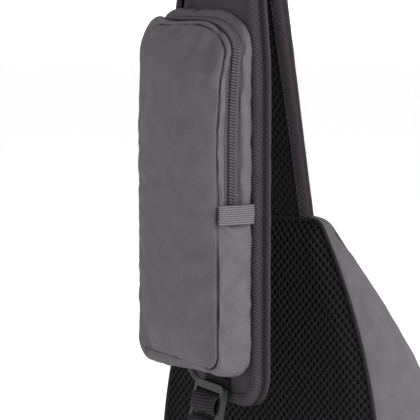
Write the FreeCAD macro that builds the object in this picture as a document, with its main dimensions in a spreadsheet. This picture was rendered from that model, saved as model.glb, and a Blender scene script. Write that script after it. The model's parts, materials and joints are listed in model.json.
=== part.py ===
import FreeCAD, Part
import Sketcher

import math
import os
import re

# A padded sling bag: a teardrop body that stands on its base, a padded shoulder strap that
# rises from the body's top, folds over and comes down in front of the back panel, and a zipped
# phone pocket on the strap. Millimetres, +Z up, -Y towards the wearer, +X to the wearer's view
# right. The origin is the middle of the footprint, on the surface the bag stands on.

# Driving dimensions. Every name is an alias in the spreadsheet "Sizes".
SIZES = {
    # Body
    "bag_height": 300,
    "half_width": 75,
    "base_corner": 28,
    "side_straight": 140,
    "arch_radius": 335,
    "bag_depth": 84,
    "front_corner": 14,
    "front_straight": 118,
    "front_radius": 190,
    "front_slope": 30.5,
    "padding_top": 16,
    "back_plane": -2.2,
    "wall": 3,
    "piping_width": 3.6,
    "piping_depth": 4,
    "mesh_thick": 3,
    "foam_thick": 5,
    "sheet_thick": 1.5,
    "sleeve_gap": 12,
    "sleeve_height": 210,
    "sleeve_side": 14,
    "sleeve_thick": 3,
    "sleeve_corner": 12,
    # Main zip, set into the front panel as an arch
    "arch_inset": 11,
    "tape_width": 12,
    "arch_foot": 62,
    "tape_thick": 1,
    "coil_width": 4.6,
    "coil_proud": 1.4,
    # Front pocket
    "pocket_half": 48,
    "pocket_foot": 16,
    "pocket_top": 150,
    "pocket_deep": 10,
    "pocket_corner": 14,
    "pocket_wall": 2,
    "pocket_zip_z": 132,
    "pocket_zip_half": 40,
    # Shoulder strap
    "strap_thick": 9,
    "strap_root_half": 27,
    "strap_loop_half": 27,
    "strap_leg_half": 47.5,
    "strap_root_y": 3.5,
    "strap_bend_y": -24,
    "strap_bend_z": 436,
    "leg_x": 4,
    "leg_y": -51,
    "leg_turn": -26,
    "leg_end": 207,
    "strap_root_gap": 1.4,
    "strap_widening": 22,
    "strap_wide_z": 395,
    "end_corner": 17,
    "end_slant": 26,
    "skin": 1,
    "binding": 7,
    "binding_skin": 0.9,
    # Phone pocket on the strap
    "phone_half": 46,
    "phone_foot": 226,
    "phone_top": 415,
    "phone_crown": 27,
    "phone_corner": 9,
    "phone_deep": 21.5,
    "phone_wall": 2.2,
    "back_gusset": 8.4,
    "zip_band": 7.6,
    "zip_foot": 304,
    "phone_panel": 2,
    "phone_base": 1.2,
    "base_inset": 0.4,
    "welt_wide": 1.8,
    "welt_proud": 0.3,
    "tape_inset": 0.9,
    "coil_over": 0.5,
    "end_tab_gap": 0.6,
    "end_tab_thick": 1,
    "end_tab_low": 0.6,
    "end_tab_high": 10,
    # Zip pulls
    "slider_wide": 8,
    "slider_long": 11,
    "slider_plate": 1.6,
    "slider_gap": 0.3,
    "slider_notch": 1.6,
    "bail_half": 4.4,
    "bail_leg": 1.2,
    "bail_wide": 1.6,
    "bail_reach": 4.2,
    "bail_bar": 1,
    "pull_pivot": 2.8,
    "pull_long": 16,
    "pull_wide": 5,
    "pull_thick": 1.4,
    "pull_flare": 0.6,
    "pull_shift": 0.35,
    "pull_stand": 0,
    "phone_slider_up": 8,
    "main_slider_up": 12,
    "front_slider_in": 8,
    "window_side": 0.4,
    "window_low": 5.6,
    "eye_deep": 3.6,
    "eye_hole": 2.2,
    "ring_wide": 9,
    "ring_long": 10.5,
    "ring_bar": 1.2,
    # Buckle and webbing
    "webbing_wide": 25,
    "webbing_thick": 1.6,
    "lock_wide": 31,
    "lock_thick": 3.4,
    "lock_rail": 2.8,
    "lock_bar": 4,
    "lock_pitch": 10.5,
    "lock_top": 214.5,
    "lock_side": 9,
    "lock_front": 9.6,
    "lock_tilt": 12,
    "tail_long": 57,
    "hem_long": 12,
    "web_gap": 0.4,
    "web_over": 3,
    "tab_start": 2.2,
    "tab_thick": 1.6,
    "tab_low": 24,
    "tab_high": 72,
    "tab_across": 27,
    "run_slope": 28,
    "run_start": 2.5,
    "run_hem": 12,
    "run_long": 112,
    "run_lift": 42,
}

doc = FreeCAD.newDocument("SlingBag")
sheet = doc.addObject("Spreadsheet::Sheet", "Sizes")
for row, (alias, size) in enumerate(SIZES.items(), start=1):
    sheet.set("A%d" % row, alias)
    sheet.set("B%d" % row, str(size))
    sheet.setAlias("B%d" % row, alias)
doc.recompute()

NODES = {}


# ---------------------------------------------------------------- helpers

def formula(text):
    """The text as an expression: every alias is read from the sheet."""
    def cell(match):
        word = match.group(0)
        return "Sizes." + word if word in SIZES else word
    return re.sub(r"[a-z][a-z_]*", cell, str(text))


def value(text):
    """The number that a formula gives."""
    return float(sheet.evalExpression(formula(text)))


def bind(item, name, text):
    """One property of an object follows a formula."""
    item.setExpression(name, formula(text))


def place(item, across="0", depth="0", up="0", turned=False):
    """Puts an object in the bag's frame, or turned with the strap's front leg."""
    turn = value("leg_turn") if turned else 0
    item.Placement = FreeCAD.Placement(FreeCAD.Vector(), FreeCAD.Rotation(FreeCAD.Vector(0, 0, 1), turn))
    if turned:
        bind(item, "Placement.Rotation.Angle", "leg_turn")
        across = "leg_x + " + across
        depth = "leg_y + " + depth
    bind(item, "Placement.Base.x", across)
    bind(item, "Placement.Base.y", "back_plane + " + depth)
    bind(item, "Placement.Base.z", up)


def keep(item, label):
    """Names a finished sub-part."""
    item.Label = label
    NODES[label] = item
    return item


def arc_between(start, end, radius):
    """The short arc, turning left, from one point of an outline to the next."""
    chord = end - start
    height = math.sqrt(max(radius ** 2 - (chord.Length / 2) ** 2, 0))
    side = FreeCAD.Vector(-chord.y, chord.x, 0).normalize()
    centre = (start + end) * 0.5 + side * height
    first = math.atan2(start.y - centre.y, start.x - centre.x)
    last = math.atan2(end.y - centre.y, end.x - centre.x)
    circle = Part.Circle(centre, FreeCAD.Vector(0, 0, 1), radius)
    return Part.ArcOfCircle(circle, first, last)


def draw(sketch, loops):
    """Draws closed outlines. A corner is (x, y) or (x, y, radius of the arc to the next one)."""
    for loop in loops:
        first = sketch.GeometryCount
        corners = [FreeCAD.Vector(value(corner[0]), value(corner[1]), 0) for corner in loop]
        for index, corner in enumerate(loop):
            start = corners[index]
            end = corners[(index + 1) % len(loop)]
            if len(corner) == 3:
                sketch.addGeometry(arc_between(start, end, value(corner[2])))
            else:
                sketch.addGeometry(Part.LineSegment(start, end))
        for index, corner in enumerate(loop):
            edge = first + index
            following = first + (index + 1) % len(loop)
            sketch.addConstraint(Sketcher.Constraint("Coincident", edge, 2, following, 1))
            for kind, text in (("DistanceX", corner[0]), ("DistanceY", corner[1])):
                number = sketch.addConstraint(Sketcher.Constraint(kind, -1, 1, edge, 1, value(text)))
                bind(sketch, "Constraints[%d]" % number, text)
            if len(corner) == 3:
                number = sketch.addConstraint(Sketcher.Constraint("Radius", edge, value(corner[2])))
                bind(sketch, "Constraints[%d]" % number, corner[2])


def body_plane(body, role):
    """One of a body's own origin planes."""
    for feature in body.Origin.OriginFeatures:
        if feature.Role == role:
            return feature
    raise ValueError("no plane " + role)


# Which way a pad goes from its plane, so that lengths always count along +X, +Y or +Z.
BACKWARDS = {"XZ_Plane": True, "YZ_Plane": False, "XY_Plane": False}


def padded_body(name, plane, loops, start, length):
    """A PartDesign body: outlines on one of its planes, padded from start along +X, +Y or +Z."""
    body = doc.addObject("PartDesign::Body", name)
    add_feature(body, "PartDesign::Pad", plane, loops, start, length)
    return body


def add_feature(body, kind, plane, loops, start, length):
    """A pad or a pocket of a body, from start over length along +X, +Y or +Z."""
    sketch = body.newObject("Sketcher::SketchObject", body.Name + "Outline")
    sketch.AttachmentSupport = [(body_plane(body, plane), "")]
    sketch.MapMode = "FlatFace"
    sign = "-" if BACKWARDS[plane] else ""
    bind(sketch, "AttachmentOffset.Base.z", sign + "(" + start + ")")
    draw(sketch, loops)
    before = body.Shape.Volume if body.Tip else 0
    feature = body.newObject(kind, body.Name + "Feature")
    feature.Profile = sketch
    cuts = kind == "PartDesign::Pocket"
    feature.Reversed = BACKWARDS[plane] != cuts
    bind(feature, "Length", length)
    doc.recompute()
    change = body.Shape.Volume - before
    if change == 0 or (change < 0) != cuts:
        raise ValueError(body.Name + ": a feature changed nothing or went the wrong way")
    return feature


def prism(name, plane, loops, start, length):
    """A Part extrusion of outlines, along +Y from an XZ outline or along +X from a YZ one."""
    sketch = doc.addObject("Sketcher::SketchObject", name + "Outline")
    upright = FreeCAD.Rotation(FreeCAD.Vector(1, 0, 0), 90)
    if plane == "YZ_Plane":
        upright = FreeCAD.Rotation(FreeCAD.Vector(1, 1, 1), 120)
    sketch.Placement = FreeCAD.Placement(FreeCAD.Vector(), upright)
    bind(sketch, "Placement.Base.%s" % ("x" if plane == "YZ_Plane" else "y"), start)
    draw(sketch, loops)
    solid = doc.addObject("Part::Extrusion", name)
    solid.Base = sketch
    solid.DirMode = "Custom"
    solid.Dir = FreeCAD.Vector(1, 0, 0) if plane == "YZ_Plane" else FreeCAD.Vector(0, 1, 0)
    solid.Solid = True
    bind(solid, "LengthFwd", length)
    return solid


def block(name, low, size):
    """A box from its lowest corner and its size, as formulas."""
    box = doc.addObject("Part::Box", name)
    for side, text in zip(("Length", "Width", "Height"), size):
        bind(box, side, text)
    for axis, text in zip("xyz", low):
        bind(box, "Placement.Base." + axis, text)
    return box


def shared(name, first, second):
    """What two solids have in common."""
    common = doc.addObject("Part::Common", name)
    common.Base = first
    common.Tool = second
    return common


def cut(name, base, tool):
    """One solid less another."""
    difference = doc.addObject("Part::Cut", name)
    difference.Base = base
    difference.Tool = tool
    return difference


def joined(name, first, second):
    """Two solids as one."""
    whole = doc.addObject("Part::Fuse", name)
    whole.Base = first
    whole.Tool = second
    return whole


def rounded(half, low, high, corner):
    """An outline: a rectangle with four equal round corners, about x = 0."""
    return [
        ("-({0}) + {1}".format(half, corner), low),
        ("{0} - {1}".format(half, corner), low, corner),
        (half, "{0} + {1}".format(low, corner)),
        (half, "{0} - {1}".format(high, corner), corner),
        ("{0} - {1}".format(half, corner), high),
        ("-({0}) + {1}".format(half, corner), high, corner),
        ("-({0})".format(half), "{0} - {1}".format(high, corner)),
        ("-({0})".format(half), "{0} + {1}".format(low, corner), corner),
    ]


def rectangle(left, right, low, high):
    """An outline: a plain rectangle."""
    return [(left, low), (right, low), (right, high), (left, high)]


# ---------------------------------------------------------------- the body's outer forms

def teardrop(inset):
    """The body's outline as the wearer sees it, moved in by an inset."""
    side = "half_width - ({0})".format(inset)
    top = "bag_height - ({0})".format(inset)
    bend = "base_corner - ({0})".format(inset)
    arch = "arch_radius - ({0})".format(inset)
    shoulder = ("half_width - arch_radius + sqrt(({0})^2 - ({1} - side_straight)^2)"
                .format(arch, top))
    foot = "half_width - base_corner"
    return [
        ("-({0})".format(foot), inset),
        (foot, inset, bend),
        (side, "base_corner"),
        (side, "side_straight", arch),
        (shoulder, top),
        ("-({0})".format(shoulder), top, arch),
        ("-({0})".format(side), "side_straight"),
        ("-({0})".format(side), "base_corner", bend),
    ]


def profile(inset):
    """The body's side profile, with its front moved in by an inset (out, if negative)."""
    front = "bag_depth - ({0})".format(inset)
    bend = "front_radius - ({0})".format(inset)
    knee_y = "bag_depth - front_radius + ({0}) * cos(front_slope * 1deg)".format(bend)
    knee_z = "front_straight + ({0}) * sin(front_slope * 1deg)".format(bend)
    top_y = "{0} - (bag_height - ({1})) * tan(front_slope * 1deg)".format(knee_y, knee_z)
    return [
        ("-1", inset),
        ("bag_depth - front_corner", inset, "front_corner - ({0})".format(inset)),
        (front, "front_corner"),
        (front, "front_straight", bend),
        (knee_y, knee_z),
        (top_y, "bag_height"),
        ("-1", "bag_height"),
    ]


def outline_prism(name, inset, start="piping_depth", reach="bag_depth + 40"):
    """The teardrop outline, moved in by an inset, as a prism through the body's depth."""
    return prism(name, "XZ_Plane", [teardrop(inset)], start, reach)


def side_prism(name, inset):
    """The side profile, with its front moved in by an inset, as a prism across the body."""
    return prism(name, "YZ_Plane", [profile(inset)], "-half_width - 10", "half_width * 2 + 20")


def front_shell(name, outer, inner):
    """A curved sheet that follows the body's front, between two insets."""
    return cut(name, side_prism(name + "Out", outer), side_prism(name + "In", inner))


# ---------------------------------------------------------------- the body

def back_panel():
    """The spacer mesh, its foam, its stiffener and the piping round them."""
    mesh = padded_body("BackMesh", "XZ_Plane", [teardrop("piping_width")], "0", "mesh_thick")
    foam = padded_body("BackFoam", "XZ_Plane", [teardrop("piping_width")], "mesh_thick", "foam_thick")
    board = padded_body("BackSheet", "XZ_Plane", [teardrop("piping_width + 2")],
                        "mesh_thick + foam_thick", "sheet_thick")
    piping = padded_body("BackPiping", "XZ_Plane", [teardrop("0"), teardrop("piping_width")],
                         "0", "piping_depth")
    over = rectangle("-half_width", "half_width", "bag_height - padding_top", "bag_height + 5")
    for item in (foam, board):
        add_feature(item, "PartDesign::Pocket", "XZ_Plane", [over], "0", "bag_depth")
    for item, label in ((mesh, "back_mesh_panel"), (foam, "back_foam"),
                        (board, "back_frame_sheet"), (piping, "back_piping")):
        place(item)
        keep(item, label)


def front_wall(name):
    """The body's front and underside, one wall thick."""
    return shared(name + "Wall", front_shell(name + "Sheet", "0", "wall"),
                  outline_prism(name + "Outline", "0"))


def floor_zone(name):
    """The flat part of the underside, which belongs to the base panel."""
    return block(name + "Zone", ("-half_width - 5", "0", "-1"),
                 ("half_width * 2 + 10", "bag_depth - front_corner", "wall + 1"))


def gusset_walls():
    """The side walls, and the base panel with the round lower corners."""
    ring = prism("GussetRing", "XZ_Plane", [teardrop("0"), teardrop("wall")],
                 "piping_depth", "bag_depth + 40")
    walls = shared("GussetWalls", ring, side_prism("GussetFront", "wall"))
    floor = shared("Floor", front_wall("Floor"), floor_zone("Floor"))
    wide = "half_width + 10"
    deep = "bag_depth + 20"
    base = block("BaseZone", ("-({0})".format(wide), "0", "-1"),
                 ("2 * ({0})".format(wide), deep, "base_corner + 1"))
    right = block("RightZone", ("0", "0", "base_corner"), (wide, deep, "bag_height"))
    left = block("LeftZone", ("-({0})".format(wide), "0", "base_corner"),
                 (wide, deep, "bag_height"))
    for zone, label in ((base, "base_panel"), (right, "side_gusset_right"),
                        (left, "side_gusset_left")):
        part = shared("Cut" + zone.Name, walls, zone)
        if label == "base_panel":
            part = joined("Base", part, floor)
        place(part)
        keep(part, label)


def arch_zone(name, outer, inner, foot):
    """The arch-shaped band between two insets of the outline, above its foot."""
    ring = prism(name + "Ring", "XZ_Plane", [teardrop(outer), teardrop(inner)],
                 "piping_depth", "bag_depth + 40")
    upper = block(name + "Upper", ("-half_width - 5", "0", foot),
                  ("half_width * 2 + 10", "bag_depth + 50", "bag_height"))
    return shared(name, ring, upper)


def front_panels():
    """The front: the flap inside the zip, the surround outside it, the zip's tape and coil."""
    wall = cut("FrontOnly", front_wall("Front"), floor_zone("Front"))
    inner = "arch_inset + tape_width"
    flap = shared("FrontFlap", wall, outline_prism("FlapOutline", inner))
    band = arch_zone("ZipBand", "arch_inset", inner, "arch_foot")
    around = cut("FrontAround", cut("FrontHoled", wall, outline_prism("FlapHole", inner)), band)
    tape = shared("MainTape", band, front_shell("MainTapeSheet", "1", "1 + tape_thick"))
    edge = "arch_inset + (tape_width - coil_width) / 2"
    coil = shared("MainCoil", arch_zone("CoilBand", edge, edge + " + coil_width", "arch_foot + 3"),
                  front_shell("MainCoilSheet", "1 - coil_proud", "1"))
    for item, label in ((flap, "front_flap"), (around, "front_surround"),
                        (tape, "main_zip_tape"), (coil, "main_zip_coil")):
        place(item)
        keep(item, label)


def inner_parts():
    """The padded sleeve behind the back panel and the lining of the main compartment."""
    start = "mesh_thick + foam_thick + sheet_thick + sleeve_gap"
    sleeve = padded_body("Sleeve", "XZ_Plane",
                         [rounded("half_width - sleeve_side", "wall + 3", "sleeve_height",
                                  "sleeve_corner")], start, "sleeve_thick")
    place(sleeve)
    keep(sleeve, "inner_sleeve")


def front_pocket():
    """The flat pocket on the front, its zip tape and coil."""
    shell = padded_body("FrontPocket", "XZ_Plane",
                        [rounded("pocket_half", "pocket_foot", "pocket_top", "pocket_corner")],
                        "bag_depth", "pocket_deep")
    inside = rounded("pocket_half - pocket_wall", "pocket_foot + pocket_wall",
                     "pocket_top - pocket_wall", "pocket_corner - pocket_wall")
    add_feature(shell, "PartDesign::Pocket", "XZ_Plane", [inside], "bag_depth",
                "pocket_deep - pocket_wall")
    slot = rectangle("-pocket_zip_half", "pocket_zip_half", "pocket_zip_z - coil_width / 2 - 1",
                     "pocket_zip_z + coil_width / 2 + 1")
    add_feature(shell, "PartDesign::Pocket", "XZ_Plane", [slot],
                "bag_depth + pocket_deep - pocket_wall", "pocket_wall")
    back = "bag_depth + pocket_deep - pocket_wall"
    tape = padded_body("FrontTape", "XZ_Plane",
                       [rectangle("-pocket_zip_half - 2", "pocket_zip_half + 2",
                                  "pocket_zip_z - tape_width / 2", "pocket_zip_z + tape_width / 2")],
                       back + " - tape_thick", "tape_thick")
    coil = padded_body("FrontCoil", "XZ_Plane",
                       [rectangle("-pocket_zip_half + 1", "pocket_zip_half - 1",
                                  "pocket_zip_z - coil_width / 2", "pocket_zip_z + coil_width / 2")],
                       back, "pocket_wall")
    for item, label in ((shell, "front_pocket"), (tape, "front_zip_tape"),
                        (coil, "front_zip_coil")):
        place(item)
        keep(item, label)


def corner_tab():
    """The wing of fabric in the lower left seam that takes the strap's webbing."""
    seam = "-half_width + 1"
    tip_x = "-half_width + tab_across"
    fall = "webbing_wide * sin(run_slope * 1deg)"
    corners = [(seam, "tab_low"), (tip_x, "tab_high - 2 - ({0})".format(fall)),
               (tip_x + " - webbing_wide * cos(run_slope * 1deg)", "tab_high"), (seam, "tab_high - 3")]
    tab = padded_body("CornerTab", "XZ_Plane", [corners], "-tab_start", "tab_thick")
    place(tab)
    keep(tab, "corner_tab")


# ---------------------------------------------------------------- zip sliders and pulls

def zip_slider(name, label):
    """A slider that faces -Y and travels along Z: a waisted plate and the bail on it."""
    half = "slider_wide / 2"
    tail = "slider_wide / 2 - slider_notch"
    high = "slider_long / 2"
    plate = [("-({0})".format(tail), "-" + high), (tail, "-" + high), (half, "1"),
             (half, high + " - 1"), (half + " - 1", high), ("-({0}) + 1".format(half), high),
             ("-({0})".format(half), high + " - 1"), ("-({0})".format(half), "1")]
    body = padded_body(name, "XZ_Plane", [plate], "-slider_gap - slider_plate", "slider_plate")
    foot = "-slider_gap - slider_plate / 2"
    top = "-slider_gap - slider_plate - bail_reach + bail_bar"
    under = top + " + bail_bar"
    inner = "(bail_half - bail_leg)"
    bail = [(foot, "bail_half"), (top, "bail_half"), (top, "-bail_half"), (foot, "-bail_half"),
            (foot, "-" + inner), (under, "-" + inner), (under, inner), (foot, inner)]
    add_feature(body, "PartDesign::Pad", "YZ_Plane", [bail], "-bail_wide / 2", "bail_wide")
    return keep(body, label)


PULL_PLANE = "-slider_gap - slider_plate - pull_pivot / 2 + pull_shift"


def zip_pull(name, label, ringed=False):
    """A pull hanging from the bail: a crossbar at z = 0, a window below it, and a tab.

    A ringed pull ends in a sleeve that the metal ring turns in.
    """
    eye = "pull_wide / 2"
    end = "pull_wide / 2 + pull_flare"
    low = "-pull_long"
    tab = [("-({0})".format(end), low), (end, low), (eye, "pull_thick / 2"),
           ("-({0})".format(eye), "pull_thick / 2")]
    window = rectangle("-bail_wide / 2 - window_side", "bail_wide / 2 + window_side", "-window_low",
                       "-pull_thick / 2")
    body = padded_body(name, "XZ_Plane", [tab, window], PULL_PLANE + " - pull_thick / 2", "pull_thick")
    if ringed:
        sleeve = rectangle("-({0})".format(end), end, low, low + " + eye_deep")
        add_feature(body, "PartDesign::Pad", "XZ_Plane", [sleeve], PULL_PLANE + " - eye_deep / 2",
                    "eye_deep")
        tunnel = rectangle(PULL_PLANE + " - eye_hole / 2", PULL_PLANE + " + eye_hole / 2",
                           low + " + (eye_deep - eye_hole) / 2", low + " + (eye_deep + eye_hole) / 2")
        add_feature(body, "PartDesign::Pocket", "YZ_Plane", [tunnel], "-pull_wide", "pull_wide * 2")
    return keep(body, label)


# ---------------------------------------------------------------- the shoulder strap

# How the strap folds over its loop: sections in the fold, and the shares of the front leg's
# widening and turn that it has at the fold's end.
LOOP_STEPS = 6
LOOP_WIDENING = 0.6
LOOP_TWIST = 0.85


def strap_stations():
    """Cross-sections along the strap: centre, direction across, outward normal, half width."""
    root = FreeCAD.Vector(0, value("strap_root_y"), value("bag_height") + value("strap_root_gap"))
    bend = FreeCAD.Vector(0, value("strap_bend_y"), value("strap_bend_z"))
    shift = FreeCAD.Vector(value("leg_x"), 0, 0)
    radius = (value("strap_bend_y") - value("leg_y")) / 2
    turn = value("leg_turn")
    half_root = value("strap_root_half")
    half_loop = value("strap_loop_half")
    half_leg = value("strap_leg_half")
    rise = (bend - root).normalize()
    lean = FreeCAD.Vector(0, rise.z, -rise.y)
    stations = [(root, 0, lean, half_root), ((root + bend) * 0.5, 0, lean, (half_root + half_loop) / 2)]
    for step in range(LOOP_STEPS + 1):
        angle = math.pi * step / LOOP_STEPS
        normal = FreeCAD.Vector(0, math.cos(angle), math.sin(angle))
        share = step / LOOP_STEPS
        centre = bend + FreeCAD.Vector(0, -radius, 0) + normal * radius + shift * share
        half = half_loop + (half_leg - half_loop) * LOOP_WIDENING * share
        stations.append((centre, LOOP_TWIST * turn * share, normal, half))
    outward = FreeCAD.Vector(0, -1, 0)
    for height, half in ((value("strap_bend_z - strap_widening"), half_leg - 2),
                         (value("strap_wide_z"), half_leg), (value("leg_end + binding"), half_leg)):
        stations.append((FreeCAD.Vector(0, value("leg_y"), height) + shift, turn, outward, half))
    upright = FreeCAD.Vector(0, 0, 1)
    framed = []
    for centre, twist, normal, half in stations:
        spin = FreeCAD.Rotation(upright, twist)
        framed.append((centre, spin.multVec(FreeCAD.Vector(1, 0, 0)), spin.multVec(normal), half))
    return framed


def strap_layer(label, section):
    """A layer of the strap: section(half) gives its corners as (across, outward)."""
    wires = []
    for centre, across, normal, half in strap_stations():
        corners = [centre + across * u + normal * n for u, n in section(half)]
        wires.append(Part.makePolygon(corners + corners[:1]))
    layer = doc.addObject("Part::Feature", label.title().replace("_", ""))
    layer.Shape = Part.makeLoft(wires, True, True)
    layer.Placement = FreeCAD.Placement(FreeCAD.Vector(0, value("back_plane"), 0), FreeCAD.Rotation())
    return layer


def slanted_corner():
    """The corner that the slanted lower left of the strap's end takes off every layer."""
    low = "leg_end - 5"
    side = "-strap_leg_half - 5"
    reach = "end_slant + binding * sqrt(2) + 5"
    corners = [(side, low), ("-strap_leg_half + " + reach, low), (side, "leg_end + " + reach)]
    corner = padded_body("SlantCut", "XZ_Plane", [corners], "-strap_thick", "strap_thick * 2")
    place(corner, turned=True)
    return corner


def strap_layers():
    """The foam core, the outer fabric, the mesh lining and the bound edges."""
    corner = slanted_corner()
    face = value("strap_thick") / 2
    under = face - value("skin")
    edge = value("binding_skin")
    hem = value("binding")
    sections = {
        "strap_foam": lambda half: [
            (edge - half, -under), (half - edge, -under), (half - edge, under), (edge - half, under)],
        "strap_face_fabric": lambda half: [
            (hem - half, under), (half - hem, under), (half - hem, face), (hem - half, face)],
        "strap_mesh_lining": lambda half: [
            (hem - half, -face), (half - hem, -face), (half - hem, -under), (hem - half, -under)],
    }
    for label, side in (("strap_binding_right", 1), ("strap_binding_left", -1)):
        sections[label] = lambda half, side=side: [
            (side * (half - hem), -face), (side * half, -face), (side * half, face),
            (side * (half - hem), face), (side * (half - hem), under), (side * (half - edge), under),
            (side * (half - edge), -under), (side * (half - hem), -under)]
    for label, section in sections.items():
        layer = strap_layer(label, section)
        if label != "strap_binding_right":
            layer = cut("Slanted" + label.title().replace("_", ""), layer, corner)
        keep(layer, label)


def strap_end():
    """The bound lower end of the strap: a small corner on the right, a slanted one on the left."""
    top = "leg_end + binding"
    side = "-strap_leg_half"
    mitre = "end_slant + binding * sqrt(2)"
    corners = [(side + " + end_slant", "leg_end"), ("strap_leg_half - end_corner", "leg_end"),
               ("strap_leg_half", top), (side + " + {0} - binding".format(mitre), top),
               (side, "leg_end + " + mitre), (side, "leg_end + end_slant")]
    end = padded_body("StrapEnd", "XZ_Plane", [corners], "-strap_thick / 2", "strap_thick")
    place(end, turned=True)
    keep(end, "strap_end_binding")


# ---------------------------------------------------------------- the phone pocket

def phone_outline(inset):
    """The pocket's outline on the strap, moved in by an inset."""
    half = "phone_half - ({0})".format(inset)
    low = "phone_foot + ({0})".format(inset)
    top = "phone_top - ({0})".format(inset)
    bend = "phone_corner - ({0})".format(inset)
    crown = "phone_crown - ({0})".format(inset)
    return [
        ("-phone_half + phone_corner", low),
        ("phone_half - phone_corner", low, bend),
        (half, "phone_foot + phone_corner"),
        (half, "phone_top - phone_crown", crown),
        ("phone_half - phone_crown", top),
        ("-phone_half + phone_crown", top, crown),
        ("-({0})".format(half), "phone_top - phone_crown"),
        ("-({0})".format(half), "phone_foot + phone_corner", bend),
    ]


def phone_layer(name, label, loops, near, far, below="", above=""):
    """A layer of the phone pocket, from near to far off the strap's face."""
    start = "-strap_thick / 2 - ({0})".format(far)
    length = "{0} - ({1})".format(far, near)
    body = padded_body(name, "XZ_Plane", loops, start, length)
    if below:
        gap = rectangle("-phone_half - 5", "phone_half + 5", "phone_foot - 5", below)
        add_feature(body, "PartDesign::Pocket", "XZ_Plane", [gap], start + " - 1", length + " + 2")
    if above:
        gap = rectangle("-phone_half - 5", "phone_half + 5", above, "phone_top + 5")
        add_feature(body, "PartDesign::Pocket", "XZ_Plane", [gap], start + " - 1", length + " + 2")
    place(body, turned=True)
    return keep(body, label)


def phone_pocket():
    """The zipped pocket: back, walls, zip and front, from the strap outwards."""
    wall = [phone_outline("0"), phone_outline("phone_wall")]
    band = "back_gusset + zip_band"
    front = "phone_deep - phone_panel"
    phone_layer("PhoneBack", "phone_pocket_back", [phone_outline("base_inset")], "0", "phone_base")
    phone_layer("PhoneRear", "phone_pocket_rear_gusset", wall, "phone_base", "back_gusset")
    phone_layer("PhoneLow", "phone_pocket_lower_gusset", wall, "back_gusset", band, above="zip_foot")
    phone_layer("PhoneFore", "phone_pocket_front_gusset", wall, band, front)
    phone_layer("PhoneWelt", "phone_pocket_welt",
                [phone_outline("-welt_proud"), phone_outline("welt_wide")], front, "phone_deep")
    phone_layer("PhoneFront", "phone_pocket_front_panel", [phone_outline("welt_wide")],
                front, "phone_deep")
    phone_layer("PhoneTape", "phone_zip_tape",
                [phone_outline("tape_inset"), phone_outline("tape_inset + tape_thick")],
                "back_gusset", band, below="zip_foot")
    phone_layer("PhoneCoil", "phone_zip_coil", [phone_outline("-coil_over"), phone_outline("tape_inset")],
                band + " - coil_width", band, below="zip_foot + 1")
    near = "phone_half + end_tab_gap"
    side = rectangle(near, near + " + end_tab_thick", "zip_foot + end_tab_low",
                     "zip_foot + end_tab_high")
    tab = padded_body("PhoneTab", "XZ_Plane", [side], "-strap_thick / 2 - ({0})".format(front),
                      front + " - phone_panel")
    place(tab, turned=True)
    keep(tab, "phone_zip_end_tab")


def ring_on_pull():
    """The flat metal ring through the slot at the pull's end."""
    half = "ring_wide / 2"
    top = "-pull_long + (eye_deep + ring_bar) / 2"
    outer = rectangle("-" + half, half, top + " - ring_long", top)
    inner = rectangle("-({0} - ring_bar)".format(half), half + " - ring_bar",
                      top + " - ring_long + ring_bar", top + " - ring_bar")
    body = padded_body("PhoneRing", "XZ_Plane", [outer, inner], PULL_PLANE + " - ring_bar / 2", "ring_bar")
    return keep(body, "phone_pull_ring")


# ---------------------------------------------------------------- buckle and webbing

def lock_place(item):
    """Puts a piece in the ladder lock's frame: its top bar's middle, the foot tilted outwards."""
    tilt = FreeCAD.Rotation(FreeCAD.Vector(1, 0, 0), -value("lock_tilt"))
    turn = FreeCAD.Rotation(FreeCAD.Vector(0, 0, 1), value("leg_turn"))
    item.Placement = FreeCAD.Placement(FreeCAD.Vector(), turn.multiply(tilt))
    bind(item, "Placement.Base.x",
         "leg_x + lock_side * cos(leg_turn * 1deg) + lock_front * sin(leg_turn * 1deg)")
    bind(item, "Placement.Base.y",
         "back_plane + leg_y + lock_side * sin(leg_turn * 1deg) - lock_front * cos(leg_turn * 1deg)")
    bind(item, "Placement.Base.z", "lock_top")


def ladder_lock():
    """The plastic ladder lock: a frame with three slots between four bars."""
    half = "lock_wide / 2"
    frame = rounded(half, "-lock_pitch * 3 - lock_bar / 2", "lock_bar / 2", "3")
    slots = []
    for bar in range(3):
        slots.append(rectangle("-({0}) + lock_rail".format(half), half + " - lock_rail",
                               "-lock_pitch * {0} + lock_bar / 2".format(bar + 1),
                               "-lock_pitch * {0} - lock_bar / 2".format(bar)))
    lock = padded_body("LadderLock", "XZ_Plane", [frame] + slots, "-lock_thick / 2", "lock_thick")
    lock_place(lock)
    keep(lock, "ladder_lock")


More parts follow.
